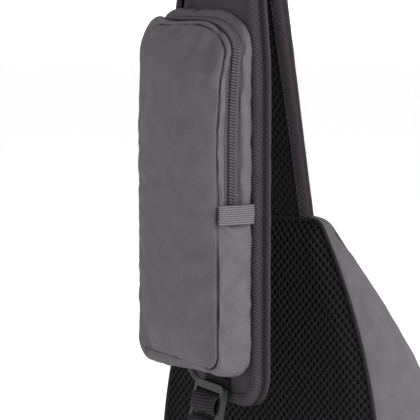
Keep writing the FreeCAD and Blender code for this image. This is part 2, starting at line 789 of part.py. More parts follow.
def webbing():
    """The webbing that holds the lock, the adjusting webbing in it and the run to the bag."""
    near = "lock_thick / 2 + web_gap"
    far = near + " + webbing_thick"
    bar = "-lock_pitch"
    clear = "lock_bar / 2 + web_gap"
    wrap = "{0} + webbing_thick".format(clear)
    anchor = [(near, "web_over"), (far, "web_over"), (far, "{0} - ({1})".format(bar, wrap)),
              ("-({0})".format(far), "{0} - ({1})".format(bar, wrap)),
              ("-({0})".format(far), bar + " + web_over"), ("-({0})".format(near), bar + " + web_over"),
              ("-({0})".format(near), "{0} - ({1})".format(bar, clear)),
              (near, "{0} - ({1})".format(bar, clear))]
    third = "-lock_pitch * 2"
    feed = [("-({0})".format(far), "-tail_long"), ("-({0})".format(near), "-tail_long"),
            ("-({0})".format(near), "{0} + {1}".format(third, clear)),
            (near, "{0} + {1}".format(third, clear)), (near, "-lock_pitch * 4"),
            (far, "-lock_pitch * 4"), (far, "{0} + {1}".format(third, wrap)),
            ("-({0})".format(far), "{0} + {1}".format(third, wrap))]
    for name, label, loop in (("Anchor", "anchor_webbing", anchor), ("Feed", "adjusting_webbing", feed)):
        strip = padded_body(name, "YZ_Plane", [loop], "-webbing_wide / 2", "webbing_wide")
        lock_place(strip)
        keep(strip, label)
    hem = rectangle("-webbing_wide / 2", "webbing_wide / 2", "-tail_long",
                    "-tail_long + hem_long")
    fold = padded_body("Hem", "XZ_Plane", [hem], "-({0}) - webbing_thick".format(far), "webbing_thick")
    lock_place(fold)
    keep(fold, "webbing_hem")


def lower_webbing():
    """The run of webbing from below the ladder lock to the corner tab."""
    wide = value("webbing_wide") / 2
    thick = value("webbing_thick")
    slope = math.radians(value("run_slope"))
    across = FreeCAD.Vector(math.cos(slope), 0, -math.sin(slope))
    along = FreeCAD.Vector(math.sin(slope), 0, math.cos(slope))
    tip = FreeCAD.Vector(value("tab_across - half_width"), -value("run_start"),
                         value("tab_high - 2 - webbing_wide * sin(run_slope * 1deg)"))
    low = tip - across * wide - along * value("run_hem")
    top = low + along * value("run_long") - FreeCAD.Vector(0, value("run_lift"), 0)
    wires = []
    for centre in (low, top):
        back = FreeCAD.Vector(0, -thick, 0)
        ring = [centre - across * wide, centre + across * wide,
                centre + across * wide + back, centre - across * wide + back]
        wires.append(Part.makePolygon(ring + ring[:1]))
    strip = doc.addObject("Part::Feature", "LowerWebbing")
    strip.Shape = Part.makeLoft(wires, True, True)
    strip.Placement = FreeCAD.Placement(FreeCAD.Vector(0, value("back_plane"), 0), FreeCAD.Rotation())
    keep(strip, "lower_webbing")


# ---------------------------------------------------------------- assembly

def face_out(item, turn, across, depth, up, rolled=0, stand=0):
    """Stands a slider or a pull, made to face -Y, at a place of its own.

    A pull may stand off, swung out on its bail by some degrees.
    """
    upright = FreeCAD.Rotation(FreeCAD.Vector(0, 0, 1), turn)
    upright = upright.multiply(FreeCAD.Rotation(FreeCAD.Vector(0, 1, 0), rolled))
    swing = FreeCAD.Rotation(FreeCAD.Vector(1, 0, 0), -stand)
    pivot = FreeCAD.Vector(0, value(PULL_PLANE), 0)
    shift = upright.multVec(pivot - swing.multVec(pivot))
    item.Placement = FreeCAD.Placement(FreeCAD.Vector(), upright.multiply(swing))
    bind(item, "Placement.Base.x", "%s + (%.6f)" % (across, shift.x))
    bind(item, "Placement.Base.y", "back_plane + %s + (%.6f)" % (depth, shift.y))
    bind(item, "Placement.Base.z", "%s + (%.6f)" % (up, shift.z))


def zip_pulls():
    """The three zips' sliders and pulls."""
    wall_x = "-phone_half - 0.5"
    wall_y = "-strap_thick / 2 - back_gusset - zip_band + coil_width / 2"
    turned_x = ("leg_x + (({0}) * cos(leg_turn * 1deg) - ({1}) * sin(leg_turn * 1deg))"
                .format(wall_x, wall_y))
    turned_y = ("leg_y + (({0}) * sin(leg_turn * 1deg) + ({1}) * cos(leg_turn * 1deg))"
                .format(wall_x, wall_y))
    stand = value("pull_stand")
    for item, swung in ((zip_slider("PhoneSlider", "phone_zip_slider"), 0),
                        (zip_pull("PhonePull", "phone_zip_pull", ringed=True), stand),
                        (ring_on_pull(), stand)):
        face_out(item, value("leg_turn") - 90, turned_x, turned_y, "zip_foot + phone_slider_up",
                 stand=swung)
    main_x = "half_width - arch_inset - tape_width / 2"
    for item in (zip_slider("MainSlider", "main_zip_slider"), zip_pull("MainPull", "main_zip_pull")):
        face_out(item, 180, main_x, "bag_depth + coil_proud - 1",
                 "arch_foot + main_slider_up")
    for item in (zip_slider("FrontSlider", "front_zip_slider"), zip_pull("FrontPull", "front_zip_pull")):
        face_out(item, 180, "pocket_zip_half - front_slider_in", "bag_depth + pocket_deep",
                 "pocket_zip_z", rolled=90)


def build():
    """Makes every sub-part."""
    back_panel()
    gusset_walls()
    front_panels()
    inner_parts()
    front_pocket()
    corner_tab()
    strap_layers()
    strap_end()
    phone_pocket()
    ladder_lock()
    webbing()
    lower_webbing()
    zip_pulls()


def check():
    """Stops if any object failed or any sub-part has no sound shape."""
    doc.recompute()
    for item in doc.Objects:
        if "Invalid" in item.State or "Error" in item.State:
            raise ValueError(item.Label + " failed: " + ", ".join(item.State))
    for label, item in NODES.items():
        if item.Shape.isNull() or not item.Shape.isValid() or not item.Shape.Solids:
            raise ValueError(label + " has no sound shape")


def write():
    """Writes one file for each sub-part."""
    os.makedirs("parts", exist_ok=True)
    whole = FreeCAD.BoundBox()
    for label, item in NODES.items():
        item.Shape.exportStep("parts/" + label + ".step")
        whole.add(item.Shape.BoundBox)
    print(len(NODES), "sub-parts;", whole)


build()
check()
write()
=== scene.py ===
import json
import math

import bpy
import numpy as np
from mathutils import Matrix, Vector


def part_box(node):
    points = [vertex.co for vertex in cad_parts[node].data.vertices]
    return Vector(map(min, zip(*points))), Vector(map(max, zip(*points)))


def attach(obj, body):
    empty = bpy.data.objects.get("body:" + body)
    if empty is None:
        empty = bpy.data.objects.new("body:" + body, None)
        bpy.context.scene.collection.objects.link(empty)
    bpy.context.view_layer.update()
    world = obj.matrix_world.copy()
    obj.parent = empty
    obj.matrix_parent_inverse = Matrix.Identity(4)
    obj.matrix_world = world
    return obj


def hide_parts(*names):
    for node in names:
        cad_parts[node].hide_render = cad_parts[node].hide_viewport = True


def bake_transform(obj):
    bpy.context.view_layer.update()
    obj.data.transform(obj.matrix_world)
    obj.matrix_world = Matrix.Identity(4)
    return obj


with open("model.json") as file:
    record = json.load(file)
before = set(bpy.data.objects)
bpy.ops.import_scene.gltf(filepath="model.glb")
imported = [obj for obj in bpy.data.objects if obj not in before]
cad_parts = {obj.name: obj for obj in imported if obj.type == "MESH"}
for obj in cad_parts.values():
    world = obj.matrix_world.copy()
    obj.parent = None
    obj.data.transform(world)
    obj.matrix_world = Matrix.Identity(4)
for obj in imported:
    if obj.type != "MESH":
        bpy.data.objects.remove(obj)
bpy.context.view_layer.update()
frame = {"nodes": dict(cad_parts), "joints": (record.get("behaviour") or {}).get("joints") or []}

# The looks of a padded sling bag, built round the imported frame. Metres throughout.
# The front leg of the strap has its own directions: across, outwards and up.

MM = 0.001

# ---------------------------------------------------------------- places read from the frame

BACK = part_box("back_mesh_panel")[0].y          # the back panel's face, towards the wearer
BAG_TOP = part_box("back_piping")[1].z
BAG_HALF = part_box("back_piping")[1].x
LEG_AXIS = next(j["axis"] for j in frame["joints"] if j["name"] == "buckle_swing")
LEG_ACROSS = np.array([LEG_AXIS[0], LEG_AXIS[1], 0.0])
LEG_OUT = np.array([LEG_AXIS[1], -LEG_AXIS[0], 0.0])
UP = np.array([0.0, 0.0, 1.0])


def corners_of(node):
    """The vertices of a CAD node, as rows."""
    return np.array([v.co for v in frame["nodes"][node].data.vertices])


def leg_box(node):
    """Lowest and highest across, outward and up values of a node on the strap's front leg."""
    points = corners_of(node)
    local = np.stack([points @ LEG_ACROSS, points @ LEG_OUT, points[:, 2]], axis=1)
    return local.min(0), local.max(0)


POCKET_LOW, POCKET_HIGH = leg_box("phone_pocket_back")
LEG_MIDDLE = (POCKET_LOW[0] + POCKET_HIGH[0]) / 2          # the leg's middle, measured across
LEG_FACE = POCKET_LOW[1]                                   # the face the phone pocket is sewn to
LEG_FOOT = leg_box("strap_end_binding")[0][2]
LEG_HALF = (leg_box("strap_end_binding")[1][0] - leg_box("strap_end_binding")[0][0]) / 2


def on_leg(across, out, up):
    """Points on the front leg: across from its middle, outwards from its face, and height."""
    across, out, up = np.broadcast_arrays(across, out, up)
    return ((across[..., None] + LEG_MIDDLE) * LEG_ACROSS + (out[..., None] + LEG_FACE) * LEG_OUT
            + up[..., None] * UP)


# ---------------------------------------------------------------- surfaces

def new_surface(name, roughness, metallic=0.0, gloss=0.12):
    """A material and its node tree, nodes and shader."""
    surface = bpy.data.materials.new(name)
    surface.use_nodes = True
    shader = surface.node_tree.nodes["Principled BSDF"]
    shader.inputs["Roughness"].default_value = roughness
    shader.inputs["Metallic"].default_value = metallic
    shader.inputs["Specular IOR Level"].default_value = gloss
    return surface, surface.node_tree, shader


def calculate(tree, operation, first, second=None, third=None):
    """One step of arithmetic in a node tree."""
    node = tree.nodes.new("ShaderNodeMath")
    node.operation = operation
    for socket, value in zip(node.inputs, (first, second, third)):
        if isinstance(value, (int, float)):
            socket.default_value = value
        elif value is not None:
            tree.links.new(value, socket)
    return node.outputs[0]


def ridges(tree, coordinate, pitch):
    """A soft ridge, 0 to 1, once every pitch."""
    turned = calculate(tree, "MULTIPLY", coordinate, 2 * math.pi / pitch)
    return calculate(tree, "MULTIPLY_ADD", calculate(tree, "SINE", turned), 0.5, 0.5)


def noise(tree, coordinate, pitch, detail=2.0):
    """Soft noise, 0 to 1, about one patch every pitch."""
    node = tree.nodes.new("ShaderNodeTexNoise")
    node.inputs["Scale"].default_value = 1 / pitch
    node.inputs["Detail"].default_value = detail
    tree.links.new(coordinate, node.inputs["Vector"])
    return node.outputs["Fac"]


def shaded(tree, shader, colour, shade, low, high):
    """Colour times a factor that runs from low to high with the shade."""
    mix = tree.nodes.new("ShaderNodeMix")
    mix.data_type = "RGBA"
    mix.inputs[6].default_value = (*[c * low for c in colour], 1)
    mix.inputs[7].default_value = (*[c * high for c in colour], 1)
    tree.links.new(shade, mix.inputs[0])
    tree.links.new(mix.outputs[2], shader.inputs["Base Color"])


def raised(tree, shader, height, depth, strength=1.0):
    """A bump from a height of 0 to 1."""
    bump = tree.nodes.new("ShaderNodeBump")
    bump.inputs["Distance"].default_value = depth
    bump.inputs["Strength"].default_value = strength
    tree.links.new(height, bump.inputs["Height"])
    tree.links.new(bump.outputs["Normal"], shader.inputs["Normal"])


def cloth_coordinates(tree):
    """The cloth attribute: along and across the weave, in metres."""
    node = tree.nodes.new("ShaderNodeAttribute")
    node.attribute_name = "cloth"
    split = tree.nodes.new("ShaderNodeSeparateXYZ")
    tree.links.new(node.outputs["Vector"], split.inputs[0])
    return node.outputs["Vector"], split.outputs[0], split.outputs[1]


def twill(name, colour):
    """Smooth woven fabric with a fine diagonal."""
    pitch, contrast, depth = 1.05 * MM, 0.45, 0.16 * MM
    surface, tree, shader = new_surface(name, 0.72)
    vector, along, across = cloth_coordinates(tree)
    slant = calculate(tree, "ADD", along, calculate(tree, "MULTIPLY", across, 0.75))
    diagonal = ridges(tree, slant, pitch)
    patches = noise(tree, vector, 12 * MM, 4.0)
    grain = noise(tree, vector, 1.2 * MM)
    uneven = calculate(tree, "MULTIPLY_ADD", grain, 0.5, calculate(tree, "MULTIPLY", patches, 0.4))
    shade = calculate(tree, "MULTIPLY_ADD", diagonal, 0.35, uneven)
    shaded(tree, shader, colour, shade, 1 - contrast, 1 + contrast)
    raised(tree, shader, calculate(tree, "MULTIPLY_ADD", diagonal, 0.6, grain), depth)
    return surface


def ribbed(name, colour, pitch, slant=0.0, low=0.4, high=1.6, depth=0.25 * MM, fine=0.7 * MM, painted_fold_shade=None):
    """Tape with ribs across it, broken up by a finer weave along it.
    A painted fold shade is a darker band of painted shade where the tape turns round an edge: its middle across
    the tape, its width, and the share of light lost."""
    surface, tree, shader = new_surface(name, 0.8)
    vector, along, across = cloth_coordinates(tree)
    ribs = ridges(tree, calculate(tree, "MULTIPLY_ADD", across, slant, along), pitch)
    threads = ridges(tree, calculate(tree, "MULTIPLY_ADD", along, 0.5, across), fine)
    fuzz = noise(tree, vector, 0.7 * MM)
    weave = calculate(tree, "MULTIPLY", ribs, calculate(tree, "MULTIPLY_ADD", threads, 0.4, 0.6))
    shade = calculate(tree, "MULTIPLY_ADD", fuzz, 0.35, calculate(tree, "MULTIPLY", weave, 0.9))
    # painted shade: a darker band across the tape where it wraps round the strap's edge
    if painted_fold_shade:
        middle, width, loss = painted_fold_shade
        off = calculate(tree, "DIVIDE", calculate(tree, "SUBTRACT", across, middle), width)
        bell = calculate(tree, "POWER", calculate(tree, "MULTIPLY_ADD", off, off, 1.0), -1.0)
        shade = calculate(tree, "MULTIPLY", shade, calculate(tree, "MULTIPLY_ADD", bell, -loss, 1.0))
    shaded(tree, shader, colour, shade, low, high)
    raised(tree, shader, weave, depth)
    return surface


def smooth_solid(name, colour, roughness, metallic=0.0):
    """Moulded plastic or plated metal with a faint grain."""
    surface, tree, shader = new_surface(name, roughness, metallic, 0.35)
    place = tree.nodes.new("ShaderNodeNewGeometry").outputs["Position"]
    speck = noise(tree, place, 0.6 * MM, 3.0)
    shaded(tree, shader, colour, speck, 0.9, 1.1)
    raised(tree, shader, speck, 0.02 * MM, 0.5)
    return surface


LOOKS = {
    "mauve": twill("mauve_fabric", (0.085, 0.077, 0.085)),
    "gusset": twill("gusset_fabric", (0.082, 0.075, 0.083)),
    # the strap's outer fabric: its own mauve grey, darkened to under half the body fabric's colour as painted
    # shade over the strap
    "strap_face": twill("strap_fabric_with_painted_shade", (0.038, 0.034, 0.038)),
    # the binding's darker middle band is painted shade where the tape wraps round the strap's edge
    "binding": ribbed("binding_tape", (0.022, 0.0183, 0.0215), 1.15 * MM, slant=0.3, low=0.02, high=4.8,
                      depth=0.6 * MM, fine=1.3 * MM, painted_fold_shade=(12.3 * MM, 2.4 * MM, 0.8)),
    "zip_tape": ribbed("zip_tape", (0.100, 0.090, 0.100), 0.8 * MM, low=0.7, high=1.2, depth=0.06 * MM),
    "grosgrain": ribbed("grosgrain", (0.092, 0.085, 0.092), 1.1 * MM, low=0.2, high=2.0, depth=0.3 * MM,
                        fine=1.7 * MM),
    "webbing": ribbed("grey_webbing", (0.013, 0.0115, 0.013), 1.5 * MM, slant=0.1, low=0.1, high=2.6,
                      depth=0.35 * MM, fine=1.3 * MM),
    "coil": smooth_solid("zip_coil", (0.052, 0.046, 0.052), 0.5),
    "thread": smooth_solid("thread", (0.045, 0.04, 0.045), 0.8),
    "knit": ribbed("spacer_mesh", (0.006, 0.006, 0.0065), 0.7 * MM, low=0.3, high=3.0, depth=0.1 * MM,
                   fine=0.6 * MM),
    "piping": ribbed("piping", (0.014, 0.013, 0.014), 0.7 * MM, slant=1.0, depth=0.06 * MM),
    "plastic": smooth_solid("black_plastic", (0.0045, 0.0048, 0.0047), 0.46),
    "dark_metal": smooth_solid("dark_metal", (0.12, 0.12, 0.125), 0.35, 0.9),
    "silver": smooth_solid("silver_metal", (0.55, 0.55, 0.56), 0.3, 1.0),
}

# ---------------------------------------------------------------- making meshes


def add_mesh(name, points, faces, cloth, looks, body, marks=None):
    """A mesh piece with its weave coordinates and materials, riding on a body."""
    mesh = bpy.data.meshes.new(name)
    mesh.from_pydata([tuple(p) for p in np.reshape(points, (-1, 3))], [], [tuple(f) for f in faces])
    cloth = np.reshape(cloth, (-1, 2))
    attribute = mesh.attributes.new("cloth", "FLOAT_VECTOR", "POINT")
    values = np.zeros((len(cloth), 3), np.float32)
    values[:, :2] = cloth
    attribute.data.foreach_set("vector", values.ravel())
    for look in looks:
        mesh.materials.append(LOOKS[look])
    if marks is not None:
        mesh.polygons.foreach_set("material_index", np.asarray(marks, np.int32))
    mesh.polygons.foreach_set("use_smooth", np.ones(len(mesh.polygons), bool))
    mesh.update()
    piece = bpy.data.objects.new(name, mesh)
    bpy.context.collection.objects.link(piece)
    if body:
        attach(piece, body)
    return piece


def lattice(rows, columns, around=False, first=0):
    """The quads of a rows by columns lattice, closed round each row where asked."""
    faces = []
    for row in range(rows - 1):
        for column in range(columns if around else columns - 1):
            after = (column + 1) % columns
            here = first + row * columns
            faces.append((here + column, here + after, here + columns + after, here + columns + column))
    return faces


def running(points):
    """Distance along a line of points."""
    steps = np.linalg.norm(np.diff(points, axis=0), axis=1)
    return np.concatenate([[0], np.cumsum(steps)])


def resample(points, count):
    """The same line as a number of evenly spaced points."""
    length = running(points)
    wanted = np.linspace(0, length[-1], count)
    return np.stack([np.interp(wanted, length, column) for column in np.transpose(points)], axis=1)


def spread(points, spacing):
    """The same line with its points about a spacing apart."""
    points = np.asarray(points, float)
    return resample(points, max(2, int(round(running(points)[-1] / spacing)) + 1))


def unit(vectors):
    """The same directions, each of length 1."""
    return vectors / np.linalg.norm(vectors, axis=-1, keepdims=True)


def ahead_along(line):
    """Unit headings along an open line of points."""
    return unit(np.gradient(line, axis=0))


def ahead_round(line):
    """Unit headings along a closed line of points."""
    return unit(np.roll(line, -1, 0) - np.roll(line, 1, 0))


def beside(ahead):
    """Directions to the right of flat headings."""
    return np.column_stack([ahead[:, 1], -ahead[:, 0]])


def both_sides(side):
    """A right side with its mirror image, as one line."""
    return np.concatenate([side, (side * [-1, 1])[::-1]])


def ease(value, low, high):
    """0 below low, 1 above high, smooth between."""
    share = np.clip((np.asarray(value, float) - low) / (high - low), 0, 1)
    return share * share * (3 - 2 * share)


def wobble(distance, wavelength, seed):
    """A smooth irregular wave, about -1 to 1, along a distance."""
    source = np.random.default_rng(seed)
    total = np.zeros_like(np.asarray(distance, float))
    for share in (0.7, 1.0, 1.6):
        total += np.sin(np.asarray(distance) * 2 * math.pi / (wavelength * share) + source.uniform(0, 6.3))
    return total / 2


def weave(along, across):
    """Weave coordinates for a lattice: distance along each row and across each column."""
    return np.stack(np.meshgrid(along, across, indexing="ij"), axis=-1)


def refine(piece):
    """Smooths a coarse mesh for good."""
    smoother = piece.modifiers.new("smooth", "SUBSURF")
    smoother.levels = smoother.render_levels = 1
    apply_modifiers(piece)


def apply_modifiers(piece):
    """Leaves the modifiers' result in the mesh."""
    graph = bpy.context.evaluated_depsgraph_get()
    result = bpy.data.meshes.new_from_object(piece.evaluated_get(graph))
    piece.modifiers.clear()
    piece.data = result


def place_of(piece):
    """A piece's vertices as rows."""
    points = np.zeros(len(piece.data.vertices) * 3)
    piece.data.vertices.foreach_get("co", points)
    return points.reshape(-1, 3)


def move_to(piece, points):
    """Puts a piece's vertices at new places."""
    piece.data.vertices.foreach_set("co", points.ravel())
    piece.data.update()


def inflate(piece, pinned, pressure, cap, shrink, frames=20):
    """Cloth: air pressure swells the piece between its pinned seams."""
    before = place_of(piece)
    group = piece.vertex_groups.new(name="seams")
    group.add([int(i) for i in pinned], 1.0, "REPLACE")
    cloth = piece.modifiers.new("cloth", "CLOTH")
    settings = cloth.settings
    settings.vertex_group_mass = "seams"
    settings.use_pressure = True
    settings.uniform_pressure_force = pressure
    settings.effector_weights.gravity = 0.0
    settings.shrink_min = shrink
    settings.quality = 6
    settings.mass = 0.2
    settings.tension_stiffness = settings.compression_stiffness = 12
    settings.bending_stiffness = 0.6
    cloth.collision_settings.use_collision = False
    cloth.point_cache.frame_end = frames
    scene = bpy.context.scene
    for number in range(1, frames + 1):
        scene.frame_set(number)
    apply_modifiers(piece)
    move = place_of(piece) - before
    length = np.linalg.norm(move, axis=1, keepdims=True)
    move *= np.minimum(1, cap / np.maximum(length, 1e-9))
    move_to(piece, before + move)
    scene.frame_set(1)


# ---------------------------------------------------------------- the shoulder strap

STRAP_THICK = 9 * MM
BIND = 7 * MM                                # width of the binding on each face
ROOT = np.array([0, BACK + 3.5 * MM, BAG_TOP - 2.0 * MM])
BEND = np.array([0, BACK - 24 * MM, 0.436])
LEG_MID = on_leg(0, -STRAP_THICK / 2, 0)
BEND_RADIUS = (BEND[1] - LEG_MID[1]) / 2
ROOT_HALF = 27.5 * MM
BEND_HALF = 24 * MM
BEND_WIDENS = 15 * MM                          # half width gained over the bend
LEG_NARROWS = 6.5 * MM                         # half width lost up the front leg
NARROWS_FROM = 0.375
ROOT_THIN = 0.55                               # the strap's thickness at its root, as a share
END_ROUND = 18 * MM                            # the round of the free end, on its right
END_SLANT = 45 * MM                            # and on its left


def strap_path():
    """The strap's middle line from the bag to its free end: place, across, outward, half width."""
    turn = math.atan2(LEG_ACROSS[1], LEG_ACROSS[0])
    rise = unit(BEND - ROOT)
    lean = np.array([0, rise[2], -rise[1]])
    places, twists, normals, halves = [], [], [], []
    for share in np.linspace(0, 1, 30, endpoint=False):
        places.append(ROOT + (BEND - ROOT) * share)
        twists.append(0)
        normals.append(lean)
        halves.append(ROOT_HALF + (BEND_HALF - ROOT_HALF) * share)
    lean_angle = math.atan2(lean[2], lean[1])
    for share in np.linspace(0, 1, 30):
        angle = lean_angle + (math.pi - lean_angle) * share
        normal = np.array([0, math.cos(angle), math.sin(angle)])
        shift = np.array([LEG_MID[0], 0, 0]) * ease(share, 0, 1)
        places.append(BEND + [0, -BEND_RADIUS, 0] + normal * BEND_RADIUS + shift)
        twists.append(turn * ease(share, 0.1, 1.0))
        normals.append(normal)
        halves.append(BEND_HALF + BEND_WIDENS * ease(share, 0, 1))
    for height in np.linspace(BEND[2], LEG_FOOT, 60)[1:]:
        places.append([LEG_MID[0], LEG_MID[1], height])
        twists.append(turn)
        normals.append([0, -1, 0])
        halves.append(LEG_HALF - LEG_NARROWS * ease(height, NARROWS_FROM, BEND[2]))
    places, twists, normals = np.array(places), np.array(twists), np.array(normals)
    table = spread(np.column_stack([places, twists, normals, halves]), 1 * MM)
    twists, normals = table[:, 3], table[:, 4:7]
    turned_across = np.column_stack([np.cos(twists), np.sin(twists), np.zeros(len(twists))])
    turned_normal = np.column_stack([normals[:, 0] * np.cos(twists) - normals[:, 1] * np.sin(twists),
                                     normals[:, 0] * np.sin(twists) + normals[:, 1] * np.cos(twists),
                                     normals[:, 2]])
    return table[:, :3], turned_across, unit(turned_normal), table[:, 7]


PATH = strap_path()
PATH_RUN = running(PATH[0])
STRAP_LONG = PATH_RUN[-1]


def on_strap(along, across, out):
    """Points on the strap: distance along from the bag, across, and outwards from its middle.
    The strap is thinner where it is sewn to the bag."""
    along, across, out = np.broadcast_arrays(along, across, out)
    at = np.clip(along, 0, STRAP_LONG)
    out = out * (ROOT_THIN + (1 - ROOT_THIN) * ease(at, 20 * MM, 170 * MM))
    place, side, normal = (np.stack([np.interp(at, PATH_RUN, part[:, k]) for k in range(3)], axis=-1)
                           for part in PATH[:3])
    past = (along - at)[..., None] * -UP
    return place + past + side * across[..., None] + normal * out[..., None]


def strap_half(along, inset, bend):
    """From the strap's middle to one edge, moved in by an inset, with that side's round corner."""
    half = np.interp(along, PATH_RUN, PATH[3])
    into = np.clip(bend - (STRAP_LONG - np.asarray(along)), 0, bend)
    return half - bend + np.sqrt(np.maximum(bend ** 2 - into ** 2, 0)) - inset


def strap_side(inset, corner):
    """One edge of the strap as (along, across), down from the bag and round its corner."""
    bend = corner - inset
    straight = np.linspace(0, STRAP_LONG - corner, 500)
    side = np.column_stack([straight, np.interp(straight, PATH_RUN, PATH[3]) - inset])
    angle = np.linspace(0, math.pi / 2, 24)
    turn = np.column_stack([STRAP_LONG - corner + bend * np.sin(angle),
                            LEG_HALF - corner + bend * np.cos(angle)])
    return np.concatenate([side, turn[1:]])


def strap_outline(inset):
    """The strap's edge as (along, across): down the right side, round the end and up the left."""
    bottom = np.column_stack([np.full(12, STRAP_LONG - inset),
                              np.linspace(LEG_HALF - END_ROUND, END_SLANT - LEG_HALF, 14)[1:-1]])
    left = strap_side(inset, END_SLANT)[::-1] * [1, -1]
    return np.concatenate([strap_side(inset, END_ROUND), bottom, left])


def creases(along, across, seed, count, reach, depth, span):
    """Soft random folds, in metres of height: count ridges about reach long, at random slants.
    The span is the lowest and highest along, then across, that their middles may have."""
    source = np.random.default_rng(seed)
    total = np.zeros(np.broadcast(along, across).shape)
    for _ in range(count):
        centre = source.uniform(span[0], span[1]), source.uniform(span[2], span[3])
        slant = source.uniform(-0.9, 0.9) + (math.pi / 2 if source.random() < 0.3 else 0)
        x = (along - centre[0]) * math.cos(slant) + (across - centre[1]) * math.sin(slant)
        y = -(along - centre[0]) * math.sin(slant) + (across - centre[1]) * math.cos(slant)
        wide = source.uniform(0.12, 0.3) * reach
        total += source.uniform(-1, 1) * np.exp(-(x / wide) ** 2 - (y / reach) ** 2)
    return total * depth


def strap_face(name, look, side, node):
    """One padded face of the strap, between its bound edges: side 1 is the outer fabric."""
    fine = side < 0                            # the lining is knitted, with holes
    step = 0.8 * MM if fine else 2.2 * MM
    end = 12 * MM                              # the length whose rows crowd towards the free end
    crowded = STRAP_LONG - BIND * 0.8 - end * (1 - np.sin(np.linspace(0, math.pi / 2, 10)))
    along = np.concatenate([np.arange(0, STRAP_LONG - BIND - end, step), crowded])
    shares = np.linspace(-1, 1, 111 if fine else 31)
    at = along + BIND * 0.5 * ease(along, STRAP_LONG - 40 * MM, STRAP_LONG - 10 * MM)
    right = np.maximum(strap_half(at, BIND - 1 * MM, END_ROUND), 3 * MM)[:, None]
    left = np.maximum(strap_half(at, BIND, END_SLANT), 3 * MM)[:, None]
    across = np.where(shares > 0, right, left) * shares
    rows = np.repeat(along[:, None], len(shares), axis=1)
    crown = 1.1 * MM * np.sqrt(np.maximum(1 - shares ** 4, 0))
    out = STRAP_THICK / 2 - 0.5 * MM + crown + rows * 0
    if fine:
        out = out - 1.3 * MM * knit_holes(across, rows) * ease(1 - np.abs(shares), 0.01, 0.05)
    if side > 0:
        out = out + creases(rows, across, 5, 60, 17 * MM, 1.6 * MM, (0.11, 0.225, -0.04, 0.04))
        last = (STRAP_LONG - 30 * MM, STRAP_LONG, -0.04, 0.04)
        out = out + creases(rows, across, 9, 10, 14 * MM, 0.7 * MM, last)
    points = on_strap(rows, across, side * out)
    faces = lattice(*rows.shape)
    if side > 0:
        faces = [face[::-1] for face in faces]
    piece = add_mesh(name, points, faces, np.stack([rows, across], axis=-1), [look], "strap")
    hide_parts(node)
    return piece


def strap_binding():
    """The ribbed tape folded round the strap's edge, on both sides and round the free end."""
    outline = strap_outline(0)
    inner = strap_outline(BIND)
    # (in from the edge, out from the middle) round the tape, in mm
    section = [(7, 4.2), (6.3, 5.0), (5, 5.3), (3, 5.2), (1.1, 4.6), (0.15, 3.3), (0.0, 2.0), (0.95, 0.3),
               (0.95, -0.3), (0.0, -2.0), (0.15, -3.3), (1.1, -4.6), (3, -5.2), (5, -5.3), (6.3, -5.0),
               (7, -4.2)]
    section = np.array(section) * MM
    run = running(outline)
    around = running(section)
    rows = []
    for inset, out in section:
        line = outline + (inner - outline) * inset / BIND
        rows.append(on_strap(line[:, 0], line[:, 1], out + 0.12 * MM * wobble(run + 50 * inset, 0.02, 3)))
    points = np.stack(rows, axis=1)
    cloth = weave(run, around)
    piece = add_mesh("strap_binding_tape", points, lattice(len(run), len(section)), cloth, ["binding"], "strap")
    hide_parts("strap_binding_right", "strap_binding_left", "strap_end_binding")


def stitches(name, line, spacing, length, radius, body):
    """A row of short raised stitches along a line of points."""
    line = spread(line, spacing)
    middle = (line[1:] + line[:-1]) / 2
    return capsules(name, middle, unit(line[1:] - line[:-1]), length, radius, body, "thread")


def capsules(name, middles, headings, length, radius, body, look, sides=6):
    """Many small round-ended rods: their middles, headings, length and radius."""
    helper = np.where(np.abs(headings[:, 2:3]) > 0.8, [[1.0, 0, 0]], [[0, 0, 1.0]])
    first = unit(np.cross(headings, helper))
    second = np.cross(headings, first)
    rings = [(-0.5, 0.45), (-0.36, 0.9), (0, 1.0), (0.36, 0.9), (0.5, 0.45)]   # shares of length, radius
    angle = np.arange(sides) * 2 * math.pi / sides
    points, faces, cloth = [], [], []
    for middle, heading, side, other in zip(middles, headings, first, second):
        start = len(points)
        for along, wide in rings:
            for turn in angle:
                points.append(middle + heading * along * length
                              + (side * math.cos(turn) + other * math.sin(turn)) * radius * wide)
                cloth.append((along * length, turn * radius))
        faces += lattice(len(rings), sides, True, start)
        faces.append(tuple(range(start + sides - 1, start - 1, -1)))
        last = start + sides * (len(rings) - 1)
        faces.append(tuple(range(last, last + sides)))
    return add_mesh(name, points, faces, cloth, [look], body)


def make_strap():
    """The padded strap, bound all round its edge."""
    # the outer face takes the strap_face look, whose colour is darkened as painted shade
    outer = strap_face("strap_outer_fabric", "strap_face", 1, "strap_face_fabric")
    strap_face("strap_lining", "knit", -1, "strap_mesh_lining")
    strap_binding()
    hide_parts("strap_foam")
    line = strap_outline(0) + (strap_outline(BIND) - strap_outline(0)) * 6 * MM / BIND
    for name, out in (("binding_stitches_outer", 5.2 * MM), ("binding_stitches_lining", -5.2 * MM)):
        stitches(name, on_strap(line[:, 0], line[:, 1], out), 3 * MM, 2.2 * MM, 0.25 * MM, "strap")


# ---------------------------------------------------------------- pouches


def rounded_side(half, low, high, foot_round, head_wide, head_tall, count=200):
    """One side of a rounded outline as (half width, height), from its foot to its top."""
    angle = np.linspace(0, math.pi / 2, 20)
    foot = np.column_stack([half - foot_round + foot_round * np.sin(angle),
                            low + foot_round * (1 - np.cos(angle))])
    head = np.column_stack([half - head_wide + head_wide * np.cos(angle),
                            high - head_tall + head_tall * np.sin(angle)])
    return resample(np.concatenate([foot, head]), count)


def rim_of(rows, columns):
    """Indices round the edge of a lattice: foot, right side, top, left side."""
    foot = [(0, column) for column in range(columns)]
    right = [(row, columns - 1) for row in range(1, rows)]
    top = [(rows - 1, column) for column in range(columns - 2, -1, -1)]
    left = [(row, 0) for row in range(rows - 2, 0, -1)]
    return np.array([row * columns + column for row, column in foot + right + top + left])


def outward(line):
    """Unit directions out of a closed flat line that runs anticlockwise."""
    return beside(ahead_round(line))


